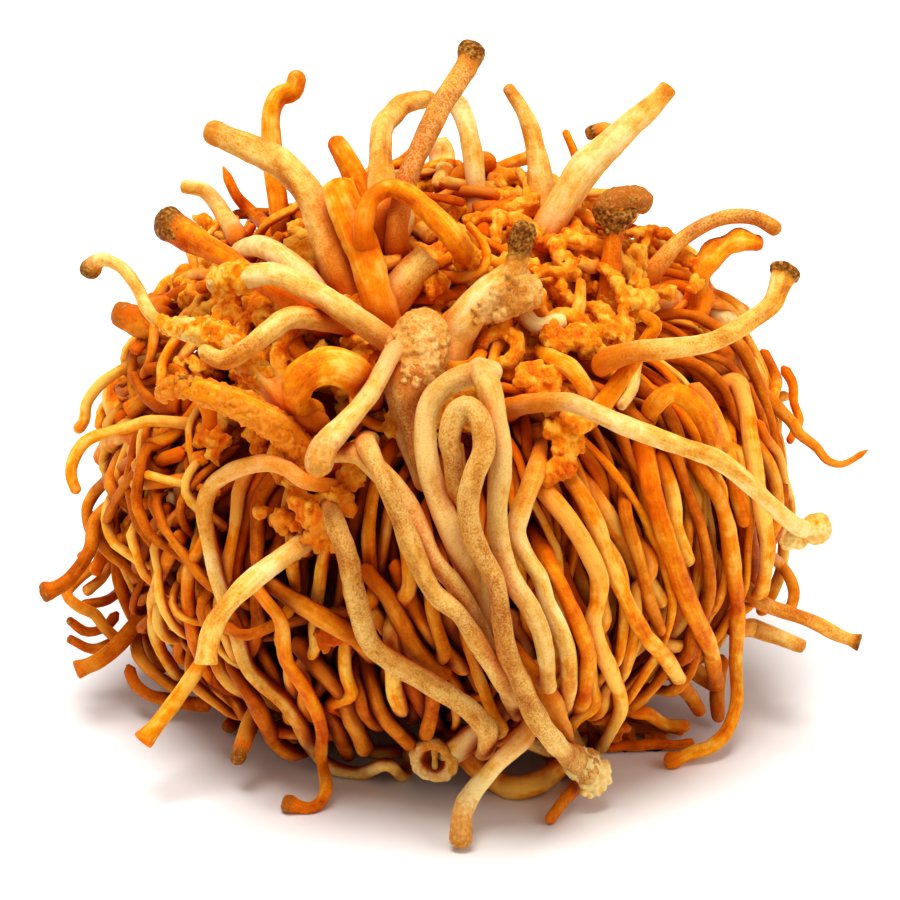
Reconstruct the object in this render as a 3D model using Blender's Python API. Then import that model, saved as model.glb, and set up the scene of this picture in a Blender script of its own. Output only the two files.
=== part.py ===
"""A bunch of dried, cultivated cordyceps at its real size.

Slender fruiting bodies grow together at a crumbly crown, stand up from it as horns and hang down round it as
a curtain. The bunch is one heap, cut off flat underneath, and it rests on that cut. Metres, +Z up. The origin
is on the flat cut, under the middle of the heap. -Y is the front.
"""

import math
from dataclasses import dataclass

import bmesh
import bpy
import numpy as np
from mathutils import Vector, noise
from mathutils.bvhtree import BVHTree

MM = 0.001

# The heap: an ellipsoid whose lowest part is cut off flat.
HEAP_HALF_WIDTH = 50.0 * MM
HEAP_HALF_DEPTH = 48.0 * MM
HEAP_HALF_HEIGHT = 43.0 * MM
HEAP_MIDDLE = 35.0 * MM  # height of its centre above the cut
HEART_SINK = 3.4 * MM  # the heart lies this far under the heap's outer face
HEART_GRID = 10  # faces along each side of the heart's six patches
HEART_LUMP = 3.6 * MM  # height of the crown's crumbly lumps
HEART_LUMP_SIZE = 11.0 * MM
LUMP_FLOOR = 0.35  # of the lumps' height, below the crown
CROWN_FROM = 48.0 * MM  # the crown begins at this height and is full one span above it
CROWN_SPAN = 18.0 * MM
PRESS_ROUNDS = 60  # the heart gives way to the stems in small steps
PRESS_SHARE = 0.6
PRESS_MOST = 0.8 * MM

# Stems
ROUTE_STEP = 6.6 * MM  # distance between a stem's cross-sections
TIP_SHARE = 0.5  # a tip's last section, as a share of the one before
TIP_LENGTH = 0.8  # a tip's rounded end, in radii
GAP = 0.3 * MM  # between solids that touch
HEART_GAP = 0.4 * MM  # a little more, because the heart's flat faces cut its corners
LAY_GAP = 0.45 * MM  # between stems that lie over each other
LAY_EASE = 4  # sections over which a stem eases up onto another
LAY_ROUNDS = 400
LAY_SHARE = 0.6
LAY_CLOSE = 0.02 * MM  # near enough to clear
SPOTS_PER_SPAN = 6  # fine samples between two cross-sections
ROOTED_LENGTH = 5.0 * MM  # the part of a stem that may sink into the heart
PLUNGE = 11.0 * MM  # a stem's root turns down into the heart by up to this
PLUNGE_STEP = 1.0 * MM
FUSED_PLUNGE = 8.0 * MM

# The back and side curtain
CURTAIN_STEMS = 14
CURTAIN_FROM = math.radians(-18)  # azimuths are measured from +X towards +Y
CURTAIN_TO = math.radians(198)
CURTAIN_SECTIONS = 7
CURTAIN_THICK = 4.2 * MM
CURTAIN_SPACE = 2.6 * MM  # from the outer stems, before a curtain stem sinks under them
CURTAIN_DEEPEST = 12.0 * MM
CURTAIN_TOP = 0.80  # where its stems start and end, as shares of the heap's half height
CURTAIN_BOTTOM = -0.70
CURTAIN_ENDS_SINK = 4.0 * MM
CURTAIN_SINK = 1.4 * MM
CURTAIN_WAVE = 0.10  # radians of sideways waviness

# Routes are read in the frame of a viewer who looks at the heap's middle from the front, tilted down.
VIEW_TILT = math.radians(25)
VIEW_DISTANCE = 700.0 * MM
VIEW_STEP = 0.1455 * MM  # one step of a route's x and y, at the heap's middle
VIEW_MIDDLE_X = 450
VIEW_MIDDLE_Y = 470
VIEW_RIGHT = Vector((1, 0, 0))
VIEW_UP = Vector((0, math.sin(VIEW_TILT), math.cos(VIEW_TILT)))
VIEW_NEAR = Vector((0, -math.cos(VIEW_TILT), math.sin(VIEW_TILT)))
MIDDLE = Vector((0, 0, HEAP_MIDDLE))

FINISHES = {
    "orange_flesh": ((0.78, 0.24, 0.03), 0.50),
    "pale_flesh": ((0.80, 0.47, 0.17), 0.55),
    "powdery_flesh": ((0.66, 0.37, 0.15), 0.80),
    "amber_flesh": ((0.55, 0.19, 0.03), 0.50),
    "crumbly_crown": ((0.66, 0.18, 0.02), 0.70),
}


@dataclass(frozen=True)
class Stem:
    """One stem, from where it grows to its tip.

    route holds (x, y) or (x, y, lift) in view steps, lift in mm over the heap's outer face. thick holds the
    thickness in mm at even distances along it. A stem with a lean stands: it starts sink mm under the heap's
    face and ends lean mm nearer the viewer, bowed in between. A fused stem is one body with the heart.
    """

    name: str
    finish: str
    route: tuple
    thick: tuple
    sink: float = 0.0
    lean: float | None = None
    bow: float = 0.0
    fused: bool = False

    def dives(self):
        """Whether the far end goes back under the heap's face too."""
        return self.lean is None and self.route[-1][2] < 0


# Back to front: each stem lies over the ones before it.
REAR_CROWN = (
    Stem("short_horn", "orange_flesh",
         ((372, 210), (348, 164), (333, 139)),
         (3.5, 3.5, 2.6), sink=4, lean=-3, fused=True),
    Stem("pale_orange_stub", "pale_flesh",
         ((370, 292), (390, 245), (406, 210)),
         (4.2, 4.0, 3.7), sink=2, lean=-3, fused=True),
    Stem("thick_cream_stub", "pale_flesh",
         ((372, 325), (408, 280), (436, 249)),
         (5.2, 5.2, 4.6), sink=2, lean=0, fused=True),
    Stem("orange_cone", "orange_flesh",
         ((330, 466, -3), (310, 432, 2), (299, 400, 5)),
         (5.0, 4.6, 3.3), fused=True),
    Stem("hooked_horn", "orange_flesh",
         ((283, 232), (275, 180), (272, 145), (271, 116), (278, 97), (293, 90), (298, 72)),
         (3.1, 2.9, 2.7, 2.7, 2.8, 2.9, 2.6), sink=7, lean=-3),
    Stem("back_branch", "pale_flesh",
         ((383, 205), (381, 137), (393, 115), (406, 103), (433, 98)),
         (3.9, 3.5, 3.1, 3.0, 2.8), sink=6, lean=-6, fused=True),
    Stem("yellow_horn", "pale_flesh",
         ((476, 205), (474, 165), (466, 125), (454, 98)),
         (3.3, 3.1, 2.9, 2.6), sink=5, lean=-5, fused=True),
    Stem("tall_horn", "pale_flesh",
         ((399, 212), (409, 174), (424, 140), (440, 108), (462, 74), (469, 60), (472, 44)),
         (3.2, 3.1, 2.9, 2.9, 2.9, 3.0, 3.3), sink=3, lean=2),
    Stem("rear_horn", "pale_flesh",
         ((541, 215), (539, 169), (532, 133), (522, 109), (507, 86)),
         (4.0, 3.7, 2.9, 2.3, 1.7), sink=4, lean=-2),
    Stem("big_pale_horn", "pale_flesh",
         ((555, 215), (581, 174), (606, 148), (632, 123), (654, 104), (672, 84)),
         (5.0, 4.8, 4.3, 3.9, 3.3, 2.4), sink=3, lean=0),
    Stem("left_big_horn", "pale_flesh",
         ((340, 275), (329, 241), (315, 204), (285, 167), (249, 147), (207, 130)),
         (5.0, 5.0, 4.6, 4.0, 3.7, 3.1), sink=4, lean=-2, bow=2),
    Stem("second_horn", "orange_flesh",
         ((374, 285), (366, 255), (351, 219), (334, 179)),
         (4.8, 4.8, 4.6, 3.9), sink=4, lean=0),
    Stem("orange_arch", "orange_flesh",
         ((366, 214, -5), (372, 198, 1), (390, 189, 5), (413, 197, 6), (435, 217, 5), (454, 239, 3),
          (468, 258, -4)),
         (2.6, 2.8, 2.8, 2.9, 3.3, 3.3, 3.1)),
    Stem("right_upper_horn", "pale_flesh",
         ((655, 268), (678, 242), (702, 226), (728, 217), (755, 218), (779, 231)),
         (2.8, 2.4, 2.3, 2.2, 2.3, 2.0), sink=5, lean=-2),
    Stem("ragged_leaf", "orange_flesh",
         ((698, 300), (704, 272), (718, 250), (738, 240), (763, 244)),
         (3.1, 3.3, 3.5, 3.1, 2.0), sink=4, lean=-2),
    Stem("brown_capped_stub", "orange_flesh",
         ((611, 290), (612, 255), (616, 225), (621, 206), (628, 190)),
         (3.1, 2.9, 2.9, 6.3, 5.2), sink=4, lean=2),
)

FRONT_CROWN = (
    Stem("pale_arch", "pale_flesh",
         ((326, 304, -4), (313, 287, 1), (298, 270, 4), (281, 256, 6), (260, 247, 6), (238, 251, 4)),
         (3.3, 3.3, 3.3, 3.3, 3.2, 2.9)),
    Stem("knobbed_stem", "orange_flesh",
         ((292, 300), (242, 270), (229, 259), (199, 243), (180, 231), (160, 220)),
         (3.1, 2.9, 2.8, 2.9, 4.0, 3.9), sink=4, lean=-4),
    Stem("ball_tipped_stem", "amber_flesh",
         ((205, 345), (175, 335), (145, 328), (131, 318), (116, 312)),
         (2.4, 2.1, 2.0, 3.7, 3.3), sink=4, lean=-4),
    Stem("hooked_left_stem", "pale_flesh",
         ((285, 402), (247, 362), (218, 336), (188, 329), (164, 324), (148, 310), (138, 288), (122, 268),
          (101, 260), (86, 274)),
         (3.3, 3.7, 4.0, 4.4, 3.1, 2.0, 1.9, 1.9, 2.0, 2.3), sink=3, lean=-6, bow=5),
    Stem("pale_curl", "pale_flesh",
         ((335, 322), (293, 317), (271, 330), (249, 347), (224, 360), (201, 350)),
         (2.8, 2.7, 2.7, 2.7, 2.6, 2.2), sink=2, lean=0, bow=4),
    Stem("big_pale_stem", "pale_flesh",
         ((400, 356), (388, 342), (345, 312), (310, 290), (275, 275), (240, 277), (211, 285)),
         (3.3, 3.2, 3.1, 3.1, 3.1, 3.5, 3.5), sink=0, lean=-6, bow=4),
    Stem("ribbed_stem", "orange_flesh",
         ((304, 455), (283, 431), (250, 411), (222, 398), (192, 388), (173, 386), (158, 398)),
         (4.0, 4.0, 4.0, 3.9, 3.5, 2.9, 2.0), sink=3, lean=4, bow=4),
    Stem("orange_hook", "orange_flesh",
         ((372, 402, -5), (365, 388, 1), (352, 374, 5), (333, 366, 6), (312, 370, 6), (299, 382, 5),
          (296, 400, -2)),
         (3.1, 4.0, 4.6, 5.0, 4.8, 4.2, 3.3)),
    Stem("orange_bow", "orange_flesh",
         ((538, 352, -5), (553, 359, 2), (571, 369, 4), (585, 388, 3), (594, 410, -4)),
         (2.6, 2.7, 2.8, 2.7, 2.6)),
    Stem("right_hook", "orange_flesh",
         ((604, 402), (620, 380), (636, 357), (648, 338), (655, 324), (641, 313)),
         (2.8, 2.6, 2.3, 2.1, 2.0, 1.7), sink=3, lean=8),
    Stem("brown_tipped_stem", "pale_flesh",
         ((452, 362), (460, 328), (487, 294), (512, 270), (519, 250), (526, 224)),
         (4.8, 4.8, 4.4, 3.5, 3.1, 2.9), sink=2, lean=4),
    Stem("disc_tipped_horn", "pale_flesh",
         ((640, 352), (666, 349), (695, 346), (725, 336), (750, 321), (771, 305), (781, 283), (788, 263)),
         (2.8, 2.6, 2.5, 2.4, 2.4, 2.5, 2.7, 4.0), sink=4, lean=10),
)

LEFT_CURTAIN = (
    Stem("far_left_stub", "amber_flesh",
         ((118, 500), (96, 520), (90, 549), (74, 574), (59, 587), (40, 594)),
         (2.4, 2.1, 2.0, 2.0, 2.1, 2.2), sink=4, lean=0),
    Stem("left_thin_hook", "orange_flesh",
         ((165, 358), (142, 362), (123, 369), (101, 384), (87, 402), (84, 420), (76, 432)),
         (1.8, 1.7, 1.7, 1.7, 1.7, 1.7, 2.0), sink=4, lean=-2),
    Stem("left_yellow_stem", "orange_flesh",
         ((200, 425), (152, 421), (130, 427), (108, 432), (86, 441), (74, 458), (71, 475), (77, 493)),
         (2.0, 1.8, 1.7, 1.7, 1.7, 1.7, 1.7, 1.6), sink=3, lean=0),
    Stem("lower_left_twig", "amber_flesh",
         ((135, 625), (118, 645), (98, 661), (72, 672)),
         (2.4, 2.3, 2.2, 2.2), sink=4, lean=2),
    Stem("outer_left_loop", "orange_flesh",
         ((188, 528, -5), (177, 542, 1), (159, 579, 2), (154, 612, 2), (159, 645, 2), (176, 674, -4)),
         (2.0, 2.0, 2.1, 2.1, 2.0, 1.9)),
    Stem("left_long_stem", "orange_flesh",
         ((212, 522, -5), (204, 540, 0), (189, 571, 2), (189, 608, 2), (196, 645, 2), (215, 682, 1),
          (250, 716, -4)),
         (2.0, 2.1, 2.1, 2.1, 2.1, 2.0, 1.9)),
    Stem("splayed_cut_stem", "orange_flesh",
         ((205, 655), (190, 680), (162, 718), (139, 745)),
         (2.2, 2.3, 2.4, 2.7), sink=3, lean=4),
    Stem("brown_finger", "amber_flesh",
         ((262, 700), (250, 724), (242, 745), (236, 763)),
         (2.6, 2.6, 2.5, 2.3), sink=3, lean=2),
    Stem("edge_stem", "amber_flesh",
         ((236, 672, -4), (250, 694, 0), (262, 716, 1), (274, 738, 1), (290, 752, 1), (306, 750, -2)),
         (2.2, 2.3, 2.3, 2.3, 2.2, 2.0)),
    Stem("twisted_stem", "amber_flesh",
         ((268, 580, -4), (285, 594, 1), (315, 613, 3), (352, 635, 1), (372, 655, -4)),
         (2.6, 2.6, 2.7, 2.5, 2.3)),
    Stem("arched_stem", "pale_flesh",
         ((346, 492, -5), (330, 486, 0), (307, 482, 3), (285, 468, 4), (263, 463, 5), (234, 470, 5),
          (212, 486, 4), (204, 510, 4), (209, 540, 3), (216, 574, 3), (226, 606, 2), (237, 634, 2),
          (246, 664, 2), (262, 684, 2), (284, 702, 2), (298, 722, 2), (312, 748, 2), (334, 768, 2),
          (362, 773, 2), (386, 764, 1), (402, 776, -3)),
         (2.1, 2.1, 2.1, 2.2, 2.2, 2.2, 2.2, 2.2, 2.2, 2.2, 2.2, 2.2, 2.2, 2.2, 2.2, 2.2, 2.2, 2.1, 2.1,
          2.0, 1.9)),
    Stem("bottom_hook_stem", "orange_flesh",
         ((255, 585, -4), (267, 602, 1), (281, 622, 2), (286, 659, 3), (306, 690, 3), (321, 727, 3),
          (321, 757, 3), (326, 790, 3), (312, 808, 3), (284, 803, 3)),
         (2.0, 2.0, 2.1, 2.1, 2.0, 1.9, 1.8, 1.8, 1.9, 2.2)),
    Stem("hollow_cut_stem", "pale_flesh",
         ((496, 716, -2), (482, 728, 0), (468, 740, 1), (452, 752, 2), (440, 762, 4), (434, 766, 7)),
         (3.1, 3.3, 3.6, 4.0, 4.6, 5.3)),
    Stem("swan_stem", "powdery_flesh",
         ((330, 508, -4), (336, 526, 2), (348, 559, 4), (357, 602, 4), (368, 640, 4), (391, 661, 4),
          (421, 679, 4), (452, 698, 4), (474, 714, 3), (488, 732, 2), (485, 752, -3)),
         (2.8, 2.8, 2.9, 2.9, 2.8, 2.8, 2.8, 2.8, 2.7, 2.6)),
    Stem("long_pale_stem", "pale_flesh",
         ((306, 540), (256, 578), (220, 614), (208, 645), (206, 670)),
         (2.7, 2.7, 2.8, 2.7, 2.8), sink=-2, lean=7, bow=2),
)

RIGHT_CURTAIN = (
    Stem("right_tail", "amber_flesh",
         ((770, 400), (790, 420), (800, 434), (816, 447), (827, 460), (843, 464), (863, 453)),
         (2.0, 1.7, 1.6, 1.4, 1.2, 1.0, 0.9), sink=4, lean=0),
    Stem("right_double_stub", "pale_flesh",
         ((750, 592), (766, 605), (809, 620), (840, 636), (864, 644)),
         (2.3, 2.2, 2.1, 2.0, 2.1), sink=3, lean=2),
    Stem("right_edge_stem", "orange_flesh",
         ((722, 384, -5), (738, 383, 0), (746, 409, 1), (752, 450, 1), (760, 500, 1), (768, 548, 1),
          (762, 590, -4)),
         (2.3, 2.3, 2.3, 2.2, 2.2, 2.2, 2.1)),
    Stem("right_hanging_stem", "orange_flesh",
         ((690, 455, -5), (701, 472, 0), (719, 499, 1), (727, 528, 1), (733, 567, 1), (738, 612, 1),
          (736, 660, 1), (737, 700, 1), (728, 729, 1), (712, 746, 1), (692, 753, 1), (668, 763, 1)),
         (2.3, 2.3, 2.3, 2.3, 2.1, 2.0, 2.0, 1.9, 1.9, 1.9, 1.9, 1.8)),
    Stem("right_inner_stem", "orange_flesh",
         ((640, 440, -5), (645, 458, 0), (649, 477, 2), (654, 499, 2), (663, 529, 2), (674, 562, 2),
          (690, 604, 2), (703, 632, 2), (712, 657, 1), (716, 684, -4)),
         (2.6, 2.6, 2.6, 2.6, 2.6, 2.6, 2.5, 2.4, 2.4, 2.3)),
    Stem("right_bent_stem", "orange_flesh",
         ((556, 460, -5), (569, 477, 0), (588, 507, 2), (603, 543, 2), (619, 584, 3), (632, 612, 3),
          (647, 638, 3), (664, 656, 3), (680, 680, 2)),
         (2.2, 2.2, 2.3, 2.3, 2.3, 2.3, 2.2, 2.2, 2.0)),
    Stem("right_curled_stem", "orange_flesh",
         ((648, 418, -4), (655, 404, 2), (672, 392, 4), (694, 405, 4), (709, 430, 3), (716, 462, -3)),
         (2.6, 2.7, 2.8, 2.8, 2.8, 2.6)),
)

FRONT_TUFT = (
    Stem("under_loop", "orange_flesh",
         ((480, 770, -5), (500, 783, -3), (519, 788, -2), (540, 782, -3), (560, 766, -6)),
         (2.9, 3.1, 3.3, 3.2, 2.9)),
    Stem("bottom_stub", "pale_flesh",
         ((518, 744, -4), (506, 755, -2), (493, 768, 0), (474, 790, 0), (462, 814, 0), (461, 846, 0)),
         (2.8, 2.7, 2.6, 2.6, 2.6, 2.8)),
    Stem("bottom_twig", "amber_flesh",
         ((578, 784, -3), (571, 793, 0), (562, 803, 0), (548, 822, 0)),
         (2.2, 2.0, 1.8, 1.5)),
    Stem("front_loop_stem", "orange_flesh",
         ((532, 478, -5), (546, 492, 0), (571, 523, 2), (590, 555, 2), (599, 577, 2), (598, 600, 2),
          (593, 622, 2), (599, 646, 2), (613, 676, 2), (621, 705, 1), (612, 729, 0), (602, 747, -4)),
         (2.4, 2.4, 2.4, 2.4, 2.4, 2.4, 2.4, 2.4, 2.2, 2.0, 2.0, 2.0)),
    Stem("fan_right_stem", "orange_flesh",
         ((540, 545, -4), (549, 564, 1), (562, 588, 3), (575, 618, 3), (586, 646, 3), (588, 670, 2),
          (584, 692, 1), (580, 712, -3)),
         (2.4, 2.4, 2.4, 2.4, 2.4, 2.4, 2.3, 2.3)),
    Stem("fan_middle_stem", "pale_flesh",
         ((540, 450, -3), (536, 470, 2), (527, 494, 4), (519, 516, 4), (516, 534, 4), (525, 554, 4),
          (540, 578, 4), (547, 602, 4), (560, 630, 4), (568, 656, 2), (569, 680, 1), (566, 704, -4)),
         (2.2, 2.6, 2.9, 2.8, 2.6, 2.5, 2.5, 2.5, 2.5, 2.5, 2.4, 2.3)),
    Stem("fan_inner_stem", "amber_flesh",
         ((516, 650, -4), (526, 664, 0), (540, 680, 2), (553, 702, 3), (562, 726, 3), (568, 750, 1)),
         (2.2, 2.4, 2.5, 2.5, 2.5, 2.4)),
    Stem("front_head", "powdery_flesh",
         ((446, 524, -3), (434, 490, 0), (424, 456, 2), (416, 428, 3), (409, 398, 5), (415, 362, 7),
          (421, 340, 8), (424, 320, 8)),
         (2.9, 3.1, 3.5, 3.9, 5.0, 7.5, 7.9, 5.9)),
    Stem("fan_curled_stem", "powdery_flesh",
         ((494, 640, -4), (484, 612, 0), (475, 588, 4), (464, 562, 6), (451, 531, 8), (438, 497, 8),
          (428, 463, 8), (425, 428, 8), (432, 400, 9), (453, 381, 10), (478, 373, 10), (499, 371, 9)),
         (2.4, 2.7, 2.9, 3.1, 3.2, 3.3, 3.3, 3.3, 3.2, 3.2, 3.1, 2.8)),
    Stem("fan_outer_stem", "powdery_flesh",
         ((326, 452, -2), (344, 452, 3), (360, 454, 5), (374, 466, 5), (395, 488, 5), (412, 513, 5),
          (430, 555, 5), (454, 584, 4), (470, 610, 3), (482, 634, 1), (490, 656, -3)),
         (2.6, 2.6, 2.6, 2.7, 2.7, 2.7, 2.7, 2.6, 2.6, 2.5, 2.4)),
    Stem("fan_left_stem", "powdery_flesh",
         ((370, 452, -4), (383, 478, 1), (402, 522, 2), (430, 588, 3), (459, 615, 3), (478, 643, 3),
          (496, 670, 2), (508, 692, 1), (518, 714, -4)),
         (2.6, 2.6, 2.7, 2.7, 2.7, 2.7, 2.6, 2.5, 2.3)),
    Stem("fan_long_stem", "powdery_flesh",
         ((484, 378, -3), (490, 396, 2), (495, 418, 4), (501, 445, 5), (501, 474, 5), (497, 502, 5),
          (498, 531, 5), (505, 560, 5), (514, 583, 5), (529, 606, 4), (540, 630, 2), (546, 656, 0),
          (548, 682, -4)),
         (3.1, 3.3, 3.3, 3.2, 3.1, 2.9, 2.9, 2.8, 2.7, 2.6, 2.5, 2.4, 2.3)),
    Stem("fan_main_stem", "powdery_flesh",
         ((456, 486, -3), (453, 462, 2), (450, 438, 4), (455, 418, 5), (468, 407, 6), (481, 420, 6),
          (484, 446, 6), (475, 473, 6), (468, 501, 6), (471, 530, 6), (482, 556, 6), (496, 585, 6),
          (503, 628, 6), (509, 657, 6), (522, 685, 6), (535, 714, 6), (552, 739, 5), (572, 758, 5),
          (600, 773, 4)),
         (2.4, 2.6, 2.8, 2.9, 3.1, 3.2, 3.2, 3.1, 3.1, 3.1, 3.1, 3.0, 3.0, 3.0, 3.0, 3.0, 3.1, 3.7, 5.0)),
    Stem("pale_stick", "pale_flesh",
         ((386, 364), (366, 399), (344, 425), (324, 448), (317, 472)),
         (2.5, 2.8, 3.2, 3.9, 4.0), sink=0, lean=9),
    Stem("long_knobbed_stem", "pale_flesh",
         ((530, 404), (549, 402), (571, 403), (593, 412), (628, 427), (672, 443), (716, 459), (745, 480),
          (779, 512), (802, 529), (824, 531)),
         (2.8, 2.7, 2.7, 2.6, 2.5, 2.4, 2.4, 2.4, 2.3, 2.8, 4.4), sink=-2, lean=-6, bow=12),
)

STEMS = REAR_CROWN + FRONT_CROWN + LEFT_CURTAIN + RIGHT_CURTAIN + FRONT_TUFT


def heap_depth(x, up):
    """How near the viewer the heap's outer face is, at x to the right and up in the view from its middle."""
    near_y, near_z = VIEW_NEAR.y, VIEW_NEAR.z
    up_y, up_z = VIEW_UP.y, VIEW_UP.z
    square_y = HEAP_HALF_DEPTH ** 2
    square_z = HEAP_HALF_HEIGHT ** 2
    curve = near_y ** 2 / square_y + near_z ** 2 / square_z
    slope = up * (up_y * near_y / square_y + up_z * near_z / square_z)
    rest = (x / HEAP_HALF_WIDTH) ** 2 + up ** 2 * (up_y ** 2 / square_y + up_z ** 2 / square_z) - 1
    return (-slope + math.sqrt(max(slope ** 2 - curve * rest, 0))) / curve


def view_points(stem):
    """The stem's route as rows of right, up and near distances in the view, before it narrows with depth."""
    rows = []
    for place in stem.route:
        right = (place[0] - VIEW_MIDDLE_X) * VIEW_STEP
        up = (VIEW_MIDDLE_Y - place[1]) * VIEW_STEP
        lift = place[2] * MM if len(place) == 3 else 0
        rows.append((right, up, heap_depth(right, up) + lift))
    rows = np.array(rows)
    if stem.lean is not None:
        runs = np.linalg.norm(np.diff(rows[:, :2], axis=0), axis=1)
        share = np.concatenate([[0], np.cumsum(runs)]) / runs.sum()
        arch = 4 * share * (1 - share)
        rows[:, 2] = rows[0, 2] + (-stem.sink + stem.lean * share + stem.bow * arch) * MM
    return rows


def smooth_line(rows, per_span=10):
    """A Catmull-Rom curve through the rows."""
    ends = np.vstack([2 * rows[0] - rows[1], rows, 2 * rows[-1] - rows[-2]])
    t = np.linspace(0, 1, per_span, endpoint=False)[:, None]
    spans = []
    for a, b, c, d in zip(ends, ends[1:], ends[2:], ends[3:]):
        spans.append(0.5 * (2 * b + (c - a) * t + (2 * a - 5 * b + 4 * c - d) * t ** 2
                            + (3 * b - a - 3 * c + d) * t ** 3))
    return np.vstack([*spans, rows[-1:]])


def along(rows):
    """Each row's distance from the first."""
    return np.concatenate([[0], np.cumsum(np.linalg.norm(np.diff(rows, axis=0), axis=1))])


def sections(rows, thick):
    """Even cross-sections along the route, closed by a short round tip: places and radii."""
    fine = smooth_line(rows)
    run = along(fine)
    length = run[-1]
    tip = thick[-1] * MM / 2 * TIP_LENGTH
    count = max(3, round((length - tip) / ROUTE_STEP) + 1)
    stops = np.append(np.linspace(0, length - tip, count), length)
    places = np.column_stack([np.interp(stops, run, fine[:, i]) for i in range(3)])
    radii = np.interp(stops / length, np.linspace(0, 1, len(thick)), thick) * MM / 2
    radii[-1] *= TIP_SHARE
    return places, radii


class Lay:
    """The view of the stems that are already in place, and of the surface under the heap."""

    def __init__(self):
        self.spots = np.zeros((0, 4))

    @staticmethod
    def between(places, radii):
        """Fine samples along straight runs: their weights on the sections, and their radii."""
        spans = len(places) - 1
        at = np.linspace(0, spans, spans * SPOTS_PER_SPAN + 1)
        low = np.minimum(at.astype(int), spans - 1)
        part = at - low
        weights = np.zeros((len(at), len(places)))
        weights[np.arange(len(at)), low] = 1 - part
        weights[np.arange(len(at)), low + 1] = part
        return weights, weights @ radii

    @staticmethod
    def narrowed(places):
        """The places as the viewer's straight sight lines carry them: nearer is narrower."""
        shrink = 1 - places[:, 2:3] / VIEW_DISTANCE
        return np.hstack([places[:, :2] * shrink, places[:, 2:3]])

    def rise(self, spots, radii):
        """How far each spot must rise to lie over every stem it crosses."""
        below = self.spots
        apart = np.hypot(spots[:, None, 0] - below[None, :, 0], spots[:, None, 1] - below[None, :, 1])
        both = radii[:, None] + below[None, :, 3] + LAY_GAP
        over = np.sqrt(np.maximum(both ** 2 - apart ** 2, 0)) + below[None, :, 2] - spots[:, None, 2]
        return np.where(apart < both, over, -1).max(axis=1)

    def add(self, places, radii):
        """Raises the stem towards the viewer until it is clear of those below and of the floor."""
        weights, spot_radii = self.between(places, radii)
        reach = weights > 1 / SPOTS_PER_SPAN
        steps = np.arange(len(places))
        ease = np.maximum(1 - np.abs(steps[:, None] - steps[None, :]) / LAY_EASE, 0)
        for _ in range(LAY_ROUNDS):
            spots = weights @ self.narrowed(places)
            floor = (spot_radii - HEAP_MIDDLE - spots[:, 1] * VIEW_UP.z) / VIEW_NEAR.z + GAP
            need = floor - spots[:, 2]
            if len(self.spots):
                need = np.maximum(need, self.rise(spots, spot_radii))
            if need.max() < LAY_CLOSE:
                break
            lift = np.where(reach, np.maximum(need, 0)[:, None], 0).max(axis=0)
            places[:, 2] += LAY_SHARE * (lift * ease).max(axis=1)
        spots = weights @ self.narrowed(places)
        self.spots = np.vstack([self.spots, np.column_stack([spots, spot_radii])])
        return places


def to_world(places):
    """View places as points of the bunch."""
    flat = Lay.narrowed(places)
    return [MIDDLE + VIEW_RIGHT * float(p[0]) + VIEW_UP * float(p[1]) + VIEW_NEAR * float(p[2]) for p in flat]


def start_empty():
    """Clears the scene and returns the collections for the bunch and for its cutters."""
    for thing in list(bpy.data.objects):
        bpy.data.objects.remove(thing, do_unlink=True)
    made = []
    for name in ("cordyceps_bunch", "cutters"):
        group = bpy.data.collections.new(name)
        bpy.context.scene.collection.children.link(group)
        made.append(group)
    return made


def finish_material(name):
    """The Principled material of that finish."""
    found = bpy.data.materials.get(name)
    if found:
        return found
    colour, roughness = FINISHES[name]
    material = bpy.data.materials.new(name)
    material.use_nodes = True
    shader = material.node_tree.nodes["Principled BSDF"]
    shader.inputs["Base Color"].default_value = (*colour, 1)
    shader.inputs["Roughness"].default_value = roughness
    shader.inputs["Metallic"].default_value = 0
    return material


def place(name, mesh, group, finish=None, cutter=False):
    """Puts a mesh in the scene as an object."""
    thing = bpy.data.objects.new(name, mesh)
    group.objects.link(thing)
    if finish:
        mesh.materials.clear()
        mesh.materials.append(finish_material(finish))
        mesh.shade_smooth()
        mesh.set_sharp_from_angle(angle=math.radians(60))
    if cutter:
        thing.hide_render = True
        thing.display_type = "WIRE"
    return thing


def tube(name, points, radii, group):
    """A round tube along straight runs between the points, as a closed mesh."""
    curve = bpy.data.curves.new(name + "_line", "CURVE")
    curve.dimensions = "3D"
    curve.bevel_depth = MM
    curve.bevel_resolution = 1
    curve.use_fill_caps = True
    line = curve.splines.new("POLY")
    line.points.add(len(points) - 1)
    for point, where, radius in zip(line.points, points, radii):
        point.co = (*where, 1)
        point.radius = radius / MM
    holder = bpy.data.objects.new(name + "_line", curve)
    group.objects.link(holder)
    evaluated = holder.evaluated_get(bpy.context.evaluated_depsgraph_get())
    mesh = bpy.data.meshes.new_from_object(evaluated)
    mesh.name = name
    mesh.transform(holder.matrix_world)
    bpy.data.objects.remove(holder, do_unlink=True)
    shape = bmesh.new()
    shape.from_mesh(mesh)
    bmesh.ops.remove_doubles(shape, verts=shape.verts, dist=0.00001)
    bmesh.ops.recalc_face_normals(shape, faces=shape.faces)
    shape.to_mesh(mesh)
    shape.free()
    return mesh


def crown_share(point):
    """1 in the crumbly crown on top of the heap, 0 well below it."""
    return min(max((point.z - CROWN_FROM) / CROWN_SPAN, 0), 1)


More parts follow.
